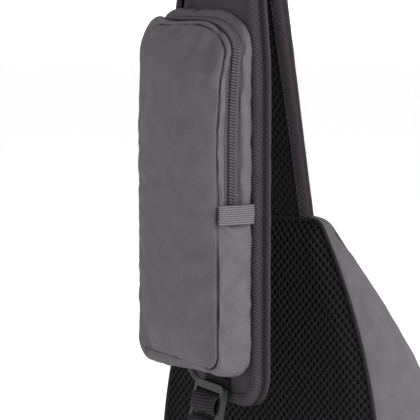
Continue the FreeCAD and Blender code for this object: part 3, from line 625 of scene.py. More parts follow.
def pouch(name, right, left, columns, front, sections, place, body, looks, marks):
    """A sewn pocket: a front panel lattice with rings running back from its edge.
    front(across, up) is the panel's height; sections(rim, run) gives (offset, out) for each ring."""
    shares = np.linspace(0, 1, columns)
    mirrored = left * [-1, 1]
    panel = (mirrored[:, None] + (right - mirrored)[:, None] * shares[:, None]).reshape(-1, 2)
    rim = rim_of(len(right), columns)
    line = panel[rim]
    direction = outward(line)
    run = running(np.concatenate([line, line[:1]]))[:-1]
    rings = sections(line, run)
    flat = [panel]
    height = [front(panel[:, 0], panel[:, 1])]
    cloth = [panel]
    back = 0.0
    before = None
    for offset, out in rings:
        flat.append(line + direction * offset[:, None])
        height.append(out)
        here = np.column_stack([flat[-1], out])
        if before is not None:
            back += float(np.mean(np.linalg.norm(here - before, axis=1)))
        before = here
        cloth.append(np.column_stack([run, np.full(len(run), back)]))
    flat, height, cloth = np.concatenate(flat), np.concatenate(height), np.concatenate(cloth)
    faces = lattice(len(right), columns)
    kinds = [0] * len(faces)
    count = len(rim)
    start = len(panel)
    for index in range(count):
        after = (index + 1) % count
        faces.append((rim[index], start + index, start + after, rim[after]))
        kinds.append(0)
    for ring in range(len(rings) - 1):
        first = start + ring * count
        for index in range(count):
            after = (index + 1) % count
            faces.append((first + index, first + count + index, first + count + after, first + after))
            kinds.append(marks(ring, (line[index] + line[after]) / 2))
    piece = add_mesh(name, place(flat[:, 0], height, flat[:, 1]), faces, cloth, looks, body, kinds)
    return piece, {"rim": rim, "line": line, "direction": direction, "start": start, "rings": len(rings)}


def ring_points(rim, first, past):
    """Indices of the vertices of a pouch's rings, from the first and short of the past one."""
    count = len(rim["rim"])
    return list(range(rim["start"] + first * count, rim["start"] + past * count))


# ---------------------------------------------------------------- the phone pocket

POCKET_HALF = 46 * MM
POCKET_FOOT = POCKET_LOW[2]
POCKET_TOP = POCKET_HIGH[2]
POCKET_DEEP = 21.5 * MM
ZIP_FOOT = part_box("phone_zip_tape")[0].z
ZIP_OUT = 13.7 * MM                            # the middle of the zip, off the strap's face
TOOTH_PITCH = 1.5 * MM
TOOTH_RADIUS = 0.68 * MM
SEAM = 1.4 * MM                                # the panel's seam, in from the pocket's outline
BAND = (8, 12)                                 # the rings that make the zip's band


def pocket_sections(line, run):
    """Rings from the panel's seam back to the strap: gusset, zip band and rear gusset."""
    zipped = ease(line[:, 1], ZIP_FOOT - 2 * MM, ZIP_FOOT + 1 * MM)
    pucker = 0.5 * MM * wobble(run, 12 * MM, 11) + 0.25 * MM * wobble(run, 4 * MM, 12)
    # (outwards from the seam, out from the strap) of each ring in mm, beside the zip and below it
    closed = [(1.0, 19.9), (1.35, 17.8), (1.75, 20.4), (2.9, 20.4), (3.6, 19.8), (3.8, 18.9), (3.4, 18.0),
              (2.3, 17.3), (1.3, 17.0), (1.2, 15.3), (1.2, 13.6), (1.2, 11.9), (1.2, 10.3),
              (1.3, 9.5), (3.0, 9.1),
              (3.6, 7.2), (3.4, 4.6), (2.7, 2.2), (1.6, 0.6), (0.2, 0.2)]
    plain = [(1.0, 19.9), (1.35, 17.8), (1.75, 20.4), (2.9, 20.3), (3.8, 19.2), (4.4, 17.9), (4.8, 16.8),
             (5.0, 15.7), (5.1, 14.6), (5.2, 13.5), (5.2, 12.4), (5.2, 11.2), (5.1, 10.0), (5.0, 8.8),
             (4.8, 7.4),
             (4.5, 5.8), (4.0, 4.1), (3.2, 2.4), (2.0, 0.9), (0.4, 0.2)]
    low = 1 - ease(line[:, 1], POCKET_FOOT + 3 * MM, POCKET_FOOT + 16 * MM)
    fill = 5 * MM * ease(line[:, 1], POCKET_TOP - 34 * MM, POCKET_TOP - 10 * MM)
    fill = fill * ease(-line[:, 0], 8 * MM, 42 * MM)
    sag = low * (1.2 + 3.4 * ease(-line[:, 0], -30 * MM, 36 * MM)) * MM
    rings = []
    for index, (shut, open_) in enumerate(zip(closed, plain)):
        offset = (shut[0] * zipped + open_[0] * (1 - zipped)) * MM
        out = (shut[1] * zipped + open_[1] * (1 - zipped)) * MM
        if index < 4:
            offset = offset + pucker * (1 - index * 0.25)
        if 3 <= index <= 17:
            offset = offset + (sag + fill) * min(1, (index - 2) / 2, (18 - index) / 4)
        rings.append((offset - 2.4 * MM, out))
    return rings


def pocket_form(across, out, up):
    """The pocket's own shape: thinner towards its top, and its front smaller than its back."""
    edge = 20.4 * MM                           # the front edge of the gusset
    share = np.clip(np.asarray(out) / POCKET_DEEP, 0, 1.2)
    rise = np.clip((np.asarray(up) - 0.342) / 0.065, 0, 1.05)
    near_zip = np.clip(share * POCKET_DEEP / ZIP_OUT, 0, 1) * np.clip((edge - out) / (edge - ZIP_OUT), 0, 1)
    out = out - 1.7 * MM * near_zip * ease(across, -20 * MM, 30 * MM)
    thin = 1 - 0.30 * rise ** 2 * (0.3 + 0.7 * ease(across, -35 * MM, 35 * MM))
    lowered = 9.0 * MM * share * ease(up, POCKET_TOP - 45 * MM, POCKET_TOP)
    lifted = 1.8 * MM * share ** 2 * (1 - ease(up, POCKET_FOOT, POCKET_FOOT + 30 * MM))
    return on_leg(across, out * thin, up - lowered + lifted)


def on_pocket(line, direction, offset, out):
    """Points beside the pocket's edge: offset outwards from its outline, and off the strap."""
    flat = line + direction * (offset - SEAM)
    return pocket_form(flat[:, 0], np.full(len(flat), out), flat[:, 1])


def make_phone_pocket():
    """The zipped phone pocket, its zip, end tab and stitching."""
    half, foot, top = POCKET_HALF - SEAM, POCKET_FOOT + SEAM, POCKET_TOP - SEAM
    right = rounded_side(half, foot, top, 9 * MM, 38 * MM, 20 * MM, 74)
    left = rounded_side(half + 1.5 * MM, foot, top, 9 * MM, 22 * MM, 27 * MM, 74)

    def front(across, up):
        crown = (1 - (across / POCKET_HALF) ** 6) * ease(up, POCKET_FOOT, POCKET_FOOT + 25 * MM)
        crown = crown * ease(-up, -POCKET_TOP, 25 * MM - POCKET_TOP)
        return POCKET_DEEP - 0.6 * MM + 2.8 * MM * np.maximum(crown, 0)

    def marks(ring, spot):
        return 1 if BAND[0] <= ring <= BAND[1] and spot[1] > ZIP_FOOT else 0

    piece, rim = pouch("phone_pocket", right, left, 33, front, pocket_sections, pocket_form, "strap",
                       ["mauve", "zip_tape"], marks)
    pinned = list(rim["rim"]) + ring_points(rim, 0, 2) + ring_points(rim, BAND[0], BAND[1] + 2)
    pinned += ring_points(rim, rim["rings"] - 1, rim["rings"])
    sewn = place_of(piece)
    inflate(piece, pinned, pressure=3.0, cap=4 * MM, shrink=-0.03)
    calm = ease(LEG_MIDDLE - sewn @ LEG_ACROSS, 16 * MM, 34 * MM)
    calm = (calm * ease(sewn[:, 2], POCKET_TOP - 70 * MM, POCKET_TOP - 34 * MM))[:, None]
    move_to(piece, place_of(piece) * (1 - calm) + sewn * calm)
    refine(piece)
    points = place_of(piece)
    across, out, up = points @ LEG_ACROSS - LEG_MIDDLE, points @ LEG_OUT - LEG_FACE, points[:, 2]
    on_panel = ease(out, 18 * MM, 20.5 * MM) * ease(-np.abs(across), -POCKET_HALF, 6 * MM - POCKET_HALF)
    on_side = (1 - on_panel) * ease(out, 0, 4 * MM) * (1 - ease(out, 17 * MM, 20 * MM))
    low = 1 - ease(up, 0.27, 0.34)
    folds = creases(up, across, 21, 60, 22 * MM, 0.6 * MM, (0.22, 0.42, -0.05, 0.05)) * on_panel
    slack = creases(up, out, 22, 30, 12 * MM, 1.3 * MM, (0.225, 0.302, 0.0, 0.02)) * low * on_side
    move_to(piece, points + LEG_OUT * folds[:, None] + LEG_ACROSS * (slack * np.sign(across))[:, None])
    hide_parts("phone_pocket_front_panel", "phone_pocket_welt", "phone_pocket_front_gusset",
                "phone_pocket_lower_gusset", "phone_pocket_rear_gusset", "phone_pocket_back", "phone_zip_tape")
    zipped = rim["line"][:, 1] > ZIP_FOOT
    track, heading = rim["line"][zipped], rim["direction"][zipped]
    coil = zip_coil("phone_zip_teeth", lambda out: on_pocket(track, heading, 1.9 * MM, out), "strap")
    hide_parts("phone_zip_coil")
    for label, out in (("phone_zip_stitches_front", ZIP_OUT + 3.4 * MM),
                       ("phone_zip_stitches_rear", ZIP_OUT - 3.5 * MM)):
        row = on_pocket(track, heading, 1.3 * MM, out)
        stitches(label, row, 2.2 * MM, 1.7 * MM, 0.22 * MM, "strap")
    make_end_tab()


def zip_coil(name, at, body):
    """Two rows of nylon teeth that lean towards each other like a herringbone: at(out) is a line."""
    middle = spread(at(ZIP_OUT), TOOTH_PITCH)
    over = unit(np.mean(at(ZIP_OUT + 1 * MM) - at(ZIP_OUT - 1 * MM), axis=0))
    ahead = ahead_along(middle)
    middles, headings = [], []
    for sign in (1, -1):
        middles.append(middle + over * 1.25 * MM * sign + ahead * 0.25 * TOOTH_PITCH * sign)
        headings.append(unit(over * sign + ahead * 0.5))
    middles, headings = np.concatenate(middles), np.concatenate(headings)
    return capsules(name, middles, headings, 3.2 * MM, TOOTH_RADIUS, body, "coil")


def make_end_tab():
    """The grosgrain tab sewn over the zip's lower end."""
    low, high = leg_box("phone_zip_end_tab")
    rows = np.linspace(low[2] - 0.4 * MM, high[2] + 0.4 * MM, 14)
    # (outwards, out from the strap) over the pocket's side, in mm
    path = [(2.6, 21.6), (3.1, 20.9), (3.3, 19.5), (3.4, 17), (3.5, 14), (3.6, 11), (3.5, 8),
            (3.2, 5), (2.4, 2),
            (1.0, 0.4)]
    path = spread(np.array(path) * MM, 0.8 * MM)
    up = np.repeat(rows[:, None], len(path), axis=1)
    hem = 0.25 * MM * np.cos((rows - rows[0]) / (rows[-1] - rows[0]) * 2 * math.pi)[:, None]
    inner, outer = (pocket_form(POCKET_HALF - 1.6 * MM + path[:, 0] + layer - hem, path[:, 1] + 0 * up, up)
                    for layer in (0.0, 0.9 * MM))
    points = np.concatenate([outer, inner[::-1]], axis=0)
    cloth = weave(np.concatenate([rows, rows[::-1]]), running(path))
    piece = add_mesh("phone_zip_tab", points, lattice(len(points), len(path)), cloth, ["grosgrain"], "strap")
    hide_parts("phone_zip_end_tab")


# ---------------------------------------------------------------- the bag's body

DEEP = 84 * MM
FRONT_STRAIGHT = 118 * MM
FRONT_RADIUS = 190 * MM
FRONT_SLOPE = math.radians(30.5)
SIDE_STRAIGHT = 140 * MM
ARCH = 335 * MM
BASE_ROUND = 28 * MM
FOOT_ROUND = 14 * MM                           # where the front turns under into the base
PIPE = 3.6 * MM                                # the piping's width


def front_depth(up):
    """How far the body's front stands out from its back panel at a height."""
    up = np.asarray(up, float)
    knee = FRONT_STRAIGHT + FRONT_RADIUS * math.sin(FRONT_SLOPE)
    over = np.clip(up - FRONT_STRAIGHT, 0, knee - FRONT_STRAIGHT)
    depth = DEEP - FRONT_RADIUS + np.sqrt(FRONT_RADIUS ** 2 - over ** 2)
    depth = depth - np.maximum(up - knee, 0) * math.tan(FRONT_SLOPE)
    low = np.clip(FOOT_ROUND - up, 0, FOOT_ROUND)
    return depth - FOOT_ROUND + np.sqrt(FOOT_ROUND ** 2 - low ** 2)


def body_side(inset, count, head=3.5 * MM):
    """The right side of the body's outline, moved in by an inset, with a small round at the top."""
    bend = BASE_ROUND - inset
    half = BAG_HALF - inset
    angle = np.linspace(0, math.pi / 2, 20)
    foot = np.column_stack([half - bend + bend * np.sin(angle), inset + bend * (1 - np.cos(angle))])
    rise = np.linspace(SIDE_STRAIGHT, BAG_TOP - inset - head, 60)
    radius = ARCH - inset
    arch = np.column_stack([BAG_HALF - ARCH + np.sqrt(radius ** 2 - (rise - SIDE_STRAIGHT) ** 2), rise])
    last, lean = arch[-1], arch[-1] - arch[-2]
    lean /= np.linalg.norm(lean)
    corner = last + lean * head * 1.05
    end = np.array([corner[0] - head * 1.2, BAG_TOP - inset])
    share = np.linspace(0, 1, 10)[1:, None]
    tip = (1 - share) ** 2 * last + 2 * share * (1 - share) * corner + share ** 2 * end
    return resample(np.concatenate([foot, arch, tip]), count)


def on_body(across, out, up):
    """Points on the body: out is the distance from the back panel's face."""
    across, out, up = np.broadcast_arrays(across, out, up)
    return np.stack([across, BACK + out, np.maximum(up, 0.25 * MM)], axis=-1)


def make_shell():
    """The front and the gussets: one sewn shell that bulges at the sides."""
    edge = 7 * MM
    side = body_side(edge, 96)

    def front(across, up):
        share = np.clip(np.abs(across) / (BAG_HALF - edge), 0, 1)
        puff = 5 * MM * (1 - share ** 2.5) * ease(up, 5 * MM, 60 * MM) * (1 - ease(up, 0.15, 0.285))
        return front_depth(up) - 0.3 * MM + puff * 0.6

    def sections(line, run):
        depth = front_depth(line[:, 1])
        free = ease(line[:, 1], 12 * MM, 45 * MM) * (1 - 0.85 * ease(line[:, 1], 0.21, 0.285))
        roll = np.minimum(1, depth / (20 * MM))
        rings = []
        # the rolled edge: (outwards, back from the front) in mm
        for offset, back in ((2.5, 0.4), (4.8, 1.6), (6.3, 3.6), (7.0, 6.2)):
            rings.append((offset * MM + 0 * depth, depth - back * MM * roll))
        for share in (0.86, 0.76, 0.66, 0.56, 0.46, 0.36, 0.27, 0.19, 0.12, 0.07):
            swell = 6.5 * MM * math.sin(math.pi * (1 - (1 - share) ** 1.25)) ** 0.8
            swell = swell * free * np.clip(depth / (45 * MM), 0.15, 1)
            rings.append((edge + swell, depth * share * 0.93 + 2.6 * MM * (1 - share)))
        rings.append((edge - 0.1 * MM + 0 * depth, 1.5 * MM + 0 * depth))
        rings.append((edge - 2.2 * MM + 0 * depth, 0.9 * MM + 0 * depth))
        return rings

    piece, rim = pouch("body_shell", side, side, 41, front, sections, on_body, "bag", ["mauve", "gusset"],
                       lambda ring, spot: 1 if ring >= 3 else 0)
    pinned = ring_points(rim, 2, 4) + ring_points(rim, rim["rings"] - 2, rim["rings"])
    low = np.flatnonzero(place_of(piece)[:, 2] < 6 * MM)
    inflate(piece, sorted(set(pinned) | set(low)), pressure=1.5, cap=3.5 * MM, shrink=-0.015, frames=16)
    refine(piece)
    points = place_of(piece)
    across, out, up = points[:, 0].copy(), points[:, 1] - BACK, points[:, 2].copy()
    folds = creases(up, points[:, 1], 31, 50, 24 * MM, 0.6 * MM, (0.02, 0.28, 0, 0.085))
    dents = creases(up, across, 32, 40, 26 * MM, 0.5 * MM, (0.02, 0.28, -0.07, 0.07))
    on_gusset = 1 - ease(out, front_depth(up) - 16 * MM, front_depth(up) - 6 * MM)
    folds = folds * on_gusset * ease(np.abs(across), 0.02, 0.06) * ease(out, 3 * MM, 12 * MM)
    points[:, 0] += np.sign(across) * folds
    points[:, 1] += dents * (1 - on_gusset) * ease(points[:, 1], 0.04, 0.07)
    points[:, 2] = np.maximum(up, 0.25 * MM)
    move_to(piece, points)
    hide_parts("front_flap", "front_surround", "side_gusset_right", "side_gusset_left", "base_panel")
    return piece


def knit_holes(across, up):
    """1 in the middle of each hole of the spacer mesh, 0 between: staggered rows, a little uneven."""
    wide, tall = 4.1 * MM, 5.0 * MM            # from one hole to the next in its row and column
    half_wide, half_tall = 1.05 * MM, 1.3 * MM
    bent = across + 0.35 * MM * np.sin(up * 90) + 0.25 * MM * np.sin(up * 31 + across * 40)
    lifted = up + 0.3 * MM * np.sin(across * 70) + 0.25 * MM * np.sin(across * 25 + up * 37)
    holes = np.zeros_like(bent)
    for shift in (0.0, 0.5):
        x = (bent / wide + shift + 0.5) % 1 - 0.5
        y = (lifted / tall + shift + 0.5) % 1 - 0.5
        reach = np.sqrt((x * wide / half_wide) ** 2 + (y * tall / half_tall) ** 2)
        holes = np.maximum(holes, 1 - ease(reach, 0.55, 1.25))
    return holes


def make_back():
    """The spacer mesh with its staggered holes, its foam edge and the piping."""
    step = 0.62 * MM
    inset = PIPE * 0.42
    hole_depth = 2.0 * MM
    up = np.arange(inset, BAG_TOP - inset + step / 2, step)
    outline = body_side(inset, 600)
    half = np.interp(up, outline[:, 1], outline[:, 0])
    columns = int(2 * (BAG_HALF - inset) / step) | 1
    shares = np.linspace(-1, 1, columns)
    across = half[:, None] * shares
    rows = np.repeat(up[:, None], columns, axis=1)
    margin = np.minimum(rows - inset, BAG_TOP - inset - rows)
    margin = np.minimum(half[:, None] * (1 - np.abs(shares)), margin)
    pad = 2.8 * MM * ease(margin, -2 * MM, 13 * MM)
    holes = knit_holes(across, rows)
    holes *= ease(margin, 0.4 * MM, 1.4 * MM)
    out = 0.2 * MM - pad + hole_depth * holes
    points = on_body(across, out, rows)
    cloth = np.stack([rows, across], axis=-1)
    piece = add_mesh("back_mesh", points, lattice(*across.shape), cloth, ["knit"], "bag")
    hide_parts("back_mesh_panel", "back_foam", "back_frame_sheet")
    line = both_sides(body_side(PIPE * 0.35, 260))
    line = spread(np.concatenate([line, line[:1]]), 2 * MM)
    path = on_body(line[:, 0], np.full(len(line), 0.6 * MM), line[:, 1])
    tube = tube_mesh("back_edge_piping", path[:-1], PIPE * 0.3, "piping", "bag")
    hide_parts("back_piping")


def tube_mesh(name, path, radius, look, body, sides=10):
    """A round cord sewn along a closed path."""
    ahead = ahead_round(path)
    helper = np.where(np.abs(ahead[:, 1:2]) > 0.9, [[1.0, 0, 0]], [[0, 1.0, 0]])
    first = unit(np.cross(ahead, helper))[:, None]
    second = np.cross(ahead, first[:, 0])[:, None]
    angle = np.arange(sides) * 2 * math.pi / sides
    points = path[:, None] + radius * (first * np.cos(angle)[:, None] + second * np.sin(angle)[:, None])
    points = np.concatenate([points, points[:1]])
    run = running(np.concatenate([path, path[:1]]))
    cloth = weave(run, angle * radius)
    return add_mesh(name, points, lattice(len(points), sides, True), cloth, [look], body)


# ---------------------------------------------------------------- webbing and hardware

WEB_WIDE = 25 * MM
WEB_THICK = 1.7 * MM
LOCK_TILT = math.radians(12)
LOCK_LOW, LOCK_HIGH = leg_box("ladder_lock")
LOCK_ACROSS = (LOCK_LOW[0] + LOCK_HIGH[0]) / 2 - LEG_MIDDLE
LOCK_OUT = 5.1 * MM                            # the top bar's middle, off the strap's face
LOCK_TOP = LOCK_HIGH[2] - 2 * MM * math.cos(LOCK_TILT) - 1.7 * MM * math.sin(LOCK_TILT)


def on_lock(across, out, up):
    """Points in the ladder lock's frame: its top bar's middle, with its foot tilted outwards."""
    across, out, up = np.broadcast_arrays(across, out, up)
    return on_leg(LOCK_ACROSS + across, LOCK_OUT + out * math.cos(LOCK_TILT) - up * math.sin(LOCK_TILT),
                  LOCK_TOP + up * math.cos(LOCK_TILT) + out * math.sin(LOCK_TILT))


def rounded_line(points, passes=3):
    """A line with its corners cut smooth."""
    points = np.asarray(points, float)
    for _ in range(passes):
        first = points[:-1] * 0.75 + points[1:] * 0.25
        second = points[:-1] * 0.25 + points[1:] * 0.75
        middle = np.stack([first, second], axis=1).reshape(-1, points.shape[1])
        points = np.concatenate([points[:1], middle, points[-1:]])
    return points


def ribbon(name, path, across, normal, body):
    """Webbing along a path, with rounded edges: across and normal at each point."""
    section = [(-0.5, 0.0), (-0.49, 0.3), (-0.46, 0.5), (-0.3, 0.53), (-0.15, 0.55), (0, 0.55),
               (0.15, 0.55),
               (0.3, 0.53), (0.46, 0.5), (0.49, 0.3), (0.5, 0.0), (0.49, -0.3), (0.46, -0.5), (0.3, -0.5),
               (0.15, -0.5), (0, -0.5), (-0.15, -0.5), (-0.3, -0.5), (-0.46, -0.5), (-0.49, -0.3)]
    section = np.array(section) * [WEB_WIDE, WEB_THICK]
    points = (path[:, None] + across[:, None] * section[:, :1] + normal[:, None] * section[:, 1:])
    cloth = weave(running(path), section[:, 0])
    faces = lattice(len(path), len(section), True)
    faces.append(tuple(range(len(section) - 1, -1, -1)))
    last = (len(path) - 1) * len(section)
    faces.append(tuple(range(last, last + len(section))))
    return add_mesh(name, points, faces, cloth, ["webbing"], body)


def lock_strip(name, node, line):
    """Webbing that stands for a CAD node and runs through the lock: a line of (out, up) there, in mm."""
    line = spread(rounded_line(np.array(line) * MM), 0.7 * MM)
    path = on_lock(0, line[:, 0], line[:, 1])
    across = np.repeat(LEG_ACROSS[None], len(path), axis=0)
    piece = ribbon(name, path, across, np.cross(across, ahead_along(path)), "buckle")
    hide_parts(node)


def make_webbing():
    """The webbing that holds the ladder lock, the adjusting webbing, its hem and the run to the bag."""
    lock_strip("lock_anchor_webbing", "anchor_webbing", [
        (-2.6, 6), (-2.6, 1), (-2.7, -2.2), (-0.5, -3.4), (2.4, -4.4), (3.7, -7.0), (3.9, -10.5),
        (3.0, -13.2),
        (-0.4, -14.0), (-2.9, -12.2), (-3.2, -7), (-3.2, 3)])
    lock_strip("adjusting_webbing_strip", "adjusting_webbing", [
        (-3.2, -41), (-3.0, -34), (-2.9, -25), (-2.6, -21), (-1.6, -17.6), (1.5, -16.6), (3.6, -19),
        (3.7, -23),
        (3.1, -30), (3.4, -38), (3.9, -48), (3.3, -57)])
    lock_strip("adjusting_webbing_hem", "webbing_hem", [(5.4, -46), (5.5, -50), (5.0, -57.2)])
    stitches("hem_stitches", on_lock(np.linspace(-10, 10, 12) * MM, 6.5 * MM, -47.2 * MM), 2.6 * MM, 1.9 * MM,
             0.28 * MM, "buckle")
    tab_low, tab_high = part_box("corner_tab")
    low_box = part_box("lower_webbing")
    low = np.array([low_box[0].x + 15 * MM, BACK - 3.4 * MM, tab_high.z - 8 * MM])
    top = on_lock(0, -3.4 * MM, -40 * MM)
    share = np.linspace(0, 1, 60)[:, None]
    sag = np.array([0, 12 * MM, -4 * MM]) * (share * (1 - share) * 4)
    path = low + (top - low) * share + sag
    slope = math.radians(28)                   # how far the sewn end is turned down
    low_across = np.array([math.cos(slope), 0, -math.sin(slope)])
    twist = ease(share, 0.05, 0.95)
    across = low_across * (1 - twist) + LEG_ACROSS * twist
    ahead = ahead_along(path)
    across = unit(across - ahead * np.sum(across * ahead, axis=1, keepdims=True))
    run = ribbon("lower_webbing_run", path, across, np.cross(across, ahead), None)
    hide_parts("lower_webbing")
    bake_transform(run)
    make_corner_tab(low, low_across)


def make_corner_tab(low, across):
    """The folded fabric triangle at the bag's lower corner that the webbing is sewn into."""
    box_low, box_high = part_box("corner_tab")
    rows = np.linspace(0, 1, 16)
    shares = np.linspace(-1, 1, 13)
    foot = np.array([box_low.x + 1.5 * MM, BACK - 0.2 * MM, box_low.z + 1 * MM])
    head_left = low - across * WEB_WIDE * 0.58 + [0, 0.4 * MM, 12 * MM]
    head_right = low + across * WEB_WIDE * 0.58 + [0, 0.4 * MM, 12 * MM]
    low_left = foot
    low_right = np.array([box_high.x, BACK - 0.2 * MM, box_low.z + 1 * MM])
    grids = []
    for lift in (-1.9 * MM, 0.6 * MM):
        sheet = []
        for row in rows:
            left = low_left + (head_left - low_left) * row
            right = low_right + (head_right - low_right) * row
            line = left + (right - left) * ((shares + 1) / 2)[:, None]
            dome = (1 - shares ** 4) * (1 - (2 * row - 1) ** 6)
            line[:, 1] += lift * dome - 1.3 * MM * row
            sheet.append(line)
        grids.append(np.array(sheet))
    points = np.concatenate([grids[0], grids[1][::-1]], axis=0)
    size = np.linalg.norm(head_left - low_left)
    cloth = weave(np.concatenate([rows, rows[::-1]]) * size, shares * 0.02)
    piece = add_mesh("corner_tab_fabric", points, lattice(len(points), len(shares)), cloth, ["mauve"], "bag")
    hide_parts("corner_tab")
    line = low + across * np.linspace(-0.42, 0.42, 8)[:, None] * WEB_WIDE + [0, -2.2 * MM, 8 * MM]
    stitches("corner_tab_stitches", line, 2.8 * MM, 2.0 * MM, 0.3 * MM, "bag")


def dress(node, look, edge, segments=2):
    """A CAD piece with a better surface and softened edges."""
    piece = frame["nodes"][node]
    piece.data.materials.clear()
    piece.data.materials.append(LOOKS[look])
    bevel = piece.modifiers.new("edges", "BEVEL")
    bevel.width = edge
    bevel.segments = segments
    bevel.limit_method = "ANGLE"
    bevel.angle_limit = math.radians(40)


def dress_hardware():
    """The moulded and metal pieces."""
    dress("ladder_lock", "plastic", 0.8 * MM, 3)
    for kind in ("phone", "main", "front"):
        dress(kind + "_zip_slider", "dark_metal", 0.35 * MM)
        dress(kind + "_zip_pull", "plastic", 0.4 * MM)
    dress("phone_pull_ring", "silver", 0.3 * MM)


# ---------------------------------------------------------------- the front's pocket and zips

FRONT_POCKET_LOW, FRONT_POCKET_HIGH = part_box("front_pocket")


def front_hit(shell, spots, lift):
    """Where the body's front is, straight in from outside at each (across, up), and lifted off it."""
    points = []
    for x, z in spots:
        found, spot, _, _ = shell.ray_cast(Vector((x, 0.3, z)), Vector((0, -1, 0)))
        points.append(spot if found else Vector((x, BACK + front_depth(z), z)))
    return np.array(points) + [0, lift, 0]


def tape_on(name, surface, line, wide, lift):
    """A zip's tape laid on the body's front along a line of (across, up), its edges tucked in."""
    aside = beside(ahead_along(line))
    shares = np.linspace(-0.5, 0.5, 7)
    rows = []
    for share in shares:
        rows.append(front_hit(surface, line + aside * share * wide, lift))
    points = np.stack(rows, axis=1)
    points[:, [0, -1], 1] -= 2 * lift
    cloth = weave(running(line), shares * wide)
    return add_mesh(name, points, lattice(*points.shape[:2]), cloth, ["zip_tape"], "bag")


def teeth_on(name, surface, line, lift):
    """Zip teeth along a line of (across, up) on the body's front."""
    line = spread(line, TOOTH_PITCH)
    ahead = ahead_along(line)
    aside = beside(ahead)
    middles, headings = [], []
    for sign in (1, -1):
        spots = line + aside * sign * 1.05 * MM + ahead * sign * 0.4 * MM
        middles.append(front_hit(surface, spots, lift))
        heading = unit(aside * sign + ahead * 0.5)
        headings.append(np.column_stack([heading[:, 0], 0 * heading[:, 0], heading[:, 1]]))
    middles, headings = np.concatenate(middles), np.concatenate(headings)
    return capsules(name, middles, headings, 2.9 * MM, TOOTH_RADIUS, "bag", "coil")


def lay_zip(kind, surface, line, wide, lift, rows):
    """A zip on the body's front: its tape, its teeth, and named rows of stitches beside it."""
    tape = tape_on(kind + "_zip_tape_strip", surface, line, wide, lift)
    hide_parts(kind + "_zip_tape")
    teeth = teeth_on(kind + "_zip_teeth", surface, line, lift + 0.4 * MM)
    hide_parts(kind + "_zip_coil")
    for name, row in rows:
        sewn = front_hit(surface, row, lift + 0.1 * MM)
        stitches(f"{kind}_zip_stitches_{name}", sewn, 3 * MM, 2.2 * MM, 0.26 * MM, "bag")


def make_main_zip(shell):
    """The arched zip of the main compartment."""
    def arch(inset):
        side = body_side(inset, 400)
        return spread(both_sides(side[side[:, 1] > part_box("main_zip_tape")[0].z]), 3 * MM)

    rows = [("outer", arch(12 * MM)), ("inner", arch(22 * MM))]
    lay_zip("main", shell, arch(17 * MM), 12 * MM, 0.7 * MM, rows)


def make_front_pocket():
    """The flat pocket on the front, with its zip."""
    half = FRONT_POCKET_HIGH.x
    low, high = FRONT_POCKET_LOW.z, FRONT_POCKET_HIGH.z
    side = rounded_side(half - 1.5 * MM, low + 1.5 * MM, high - 1.5 * MM, 12 * MM, 12 * MM, 12 * MM, 62)

    def on_front(across, out, up):
        return on_body(across, out + front_depth(np.maximum(up, 20 * MM)), up)

    def front(across, up):
        share = 1 - np.abs(across / half) ** 3
        tall = 1 - np.abs((up - (low + high) / 2) / ((high - low) / 2)) ** 4
        return 9 * MM + 2.2 * MM * share * tall

    def sections(line, run):
        pucker = 0.3 * MM * wobble(run, 12 * MM, 41)
        # (outwards, out from the body) in mm
        even = [(0.5, 8.2), (1.0, 7.5), (1.7, 8.0), (2.6, 7.2), (2.9, 5.0), (2.4, 2.5), (1.4, 0.4),
                (0.8, -1.5)]
        return [(offset * MM + pucker * (index < 3), out * MM + 0 * run)
                for index, (offset, out) in enumerate(even)]

    piece, rim = pouch("front_pocket_shell", side, side, 27, front, sections, on_front, "bag", ["mauve"],
                       lambda ring, spot: 0)
    pinned = list(rim["rim"]) + ring_points(rim, 0, rim["rings"])
    inflate(piece, pinned, pressure=2.0, cap=2.5 * MM, shrink=-0.02, frames=16)
    refine(piece)
    points = place_of(piece)
    folds = creases(points[:, 2], points[:, 0], 51, 40, 20 * MM, 0.45 * MM, (0.02, 0.15, -0.05, 0.05))
    points[:, 1] += folds * ease(points[:, 1] - BACK, DEEP + 7 * MM, DEEP + 9.5 * MM)
    move_to(piece, points)
    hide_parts("front_pocket")
    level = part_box("front_zip_coil")
    level = (level[0].z + level[1].z) / 2
    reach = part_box("front_zip_tape")[1].x
    line = np.column_stack([np.linspace(-reach, reach, 60), np.full(60, level)])
    rows = [("upper", line + [0, 4 * MM]), ("lower", line - [0, 4 * MM])]
    lay_zip("front", piece, line, 10 * MM, 0.5 * MM, rows)


def make_sleeve():
    """The padded sleeve inside the bag, behind its back panel."""
    low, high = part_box("inner_sleeve")
    half = high.x
    side = rounded_side(half - 2 * MM, low.z + 2 * MM, high.z - 2 * MM, 10 * MM, 10 * MM, 10 * MM, 40)
    depth = high.y - low.y

    def front(across, up):
        return depth + 0 * across

    def sections(line, run):
        rings = ((1.4 * MM, depth - 0.6 * MM), (2 * MM, depth * 0.5), (1.4 * MM, 0.3 * MM), (0, 0))
        return [(offset + 0 * run, out + 0 * run) for offset, out in rings]

    def place(across, out, up):
        return on_body(across, low.y - BACK + out, up)

    piece, _ = pouch("sleeve_fabric", side, side, 17, front, sections, place, "bag", ["gusset"],
                     lambda ring, spot: 0)
    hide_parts("inner_sleeve")


# ---------------------------------------------------------------- camera, lights and floor

CAMERA_AZIMUTH = math.radians(36)
CAMERA_TILT = math.radians(5.8)
CAMERA_DISTANCE = 1.03
CAMERA_SIDE = -0.0319
CAMERA_HEIGHT = BAG_TOP + 0.107
CAMERA_LENS = 160.3


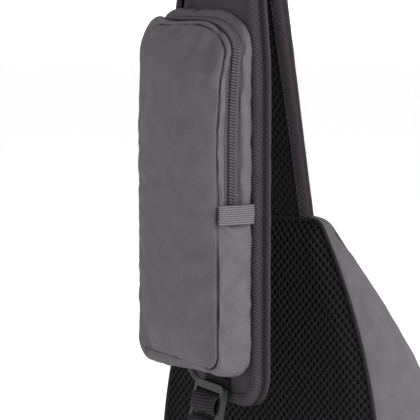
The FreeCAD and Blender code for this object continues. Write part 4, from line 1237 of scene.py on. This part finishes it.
def add_camera():
    """The camera looks at the strap and the phone pocket from the wearer's right."""
    right = Vector((math.cos(CAMERA_AZIMUTH), math.sin(CAMERA_AZIMUTH), 0))
    away = Vector((math.sin(CAMERA_AZIMUTH), -math.cos(CAMERA_AZIMUTH), 0))
    camera = bpy.data.objects.new("camera", bpy.data.cameras.new("camera"))
    camera.data.lens = CAMERA_LENS
    camera.data.sensor_width = 36
    camera.location = Vector((0, BACK, CAMERA_HEIGHT)) + right * CAMERA_SIDE + away * CAMERA_DISTANCE
    look = -away * math.cos(CAMERA_TILT) - Vector((0, 0, math.sin(CAMERA_TILT)))
    camera.rotation_mode = "QUATERNION"
    camera.rotation_quaternion = look.to_track_quat("-Z", "Y")
    bpy.context.collection.objects.link(camera)
    bpy.context.scene.camera = camera


def area_light(name, place, target, size, power):
    """A soft rectangular studio light."""
    light = bpy.data.lights.new(name, "AREA")
    light.shape = "RECTANGLE"
    light.size = size[0]
    light.size_y = size[1]
    light.energy = power
    lamp = bpy.data.objects.new(name, light)
    lamp.location = place
    lamp.rotation_mode = "QUATERNION"
    lamp.rotation_quaternion = (Vector(target) - Vector(place)).to_track_quat("-Z", "Y")
    bpy.context.collection.objects.link(lamp)


def stage_piece(name, glow):
    """A white surface of the studio, which also gives off a little light."""
    piece = bpy.context.object
    piece.name = name
    surface, tree, shader = new_surface(name, 0.9)
    place = tree.nodes.new("ShaderNodeNewGeometry").outputs["Position"]
    shaded(tree, shader, (0.93, 0.93, 0.93), noise(tree, place, 0.5), 0.995, 1.0)
    shader.inputs["Emission Color"].default_value = (1, 1, 1, 1)
    shader.inputs["Emission Strength"].default_value = glow
    piece.data.materials.append(surface)


def add_studio():
    """A pale floor and backdrop, an even world and soft lights, the strongest from the right."""
    bpy.context.scene.view_settings.view_transform = "Standard"
    world = bpy.data.worlds.new("studio")
    bpy.context.scene.world = world
    world.use_nodes = True
    background = world.node_tree.nodes["Background"]
    background.inputs["Color"].default_value = (1, 1, 1, 1)
    background.inputs["Strength"].default_value = 0.5
    area_light("key", (1.9, -0.5, 1.1), (0, 0, 0.3), (0.9, 0.9), 44)
    area_light("fill", (-1.2, -1.8, 1.2), (0, 0, 0.3), (1.2, 1.6), 8)
    area_light("rim", (0.4, 1.7, 1.2), (0, 0, 0.25), (1.4, 1.0), 12)
    room = {"vertices": 64, "radius": 40}
    bpy.ops.mesh.primitive_circle_add(fill_type="NGON", location=(0, 0, 0), **room)
    stage_piece("floor", 0.5)
    bpy.ops.mesh.primitive_cylinder_add(depth=4, end_fill_type="NOTHING", location=(0, 0, 2), **room)
    stage_piece("backdrop", 0.95)


add_camera()
add_studio()
make_strap()
make_phone_pocket()
shell = make_shell()
make_back()
make_main_zip(shell)
make_front_pocket()
make_sleeve()
make_webbing()
dress_hardware()
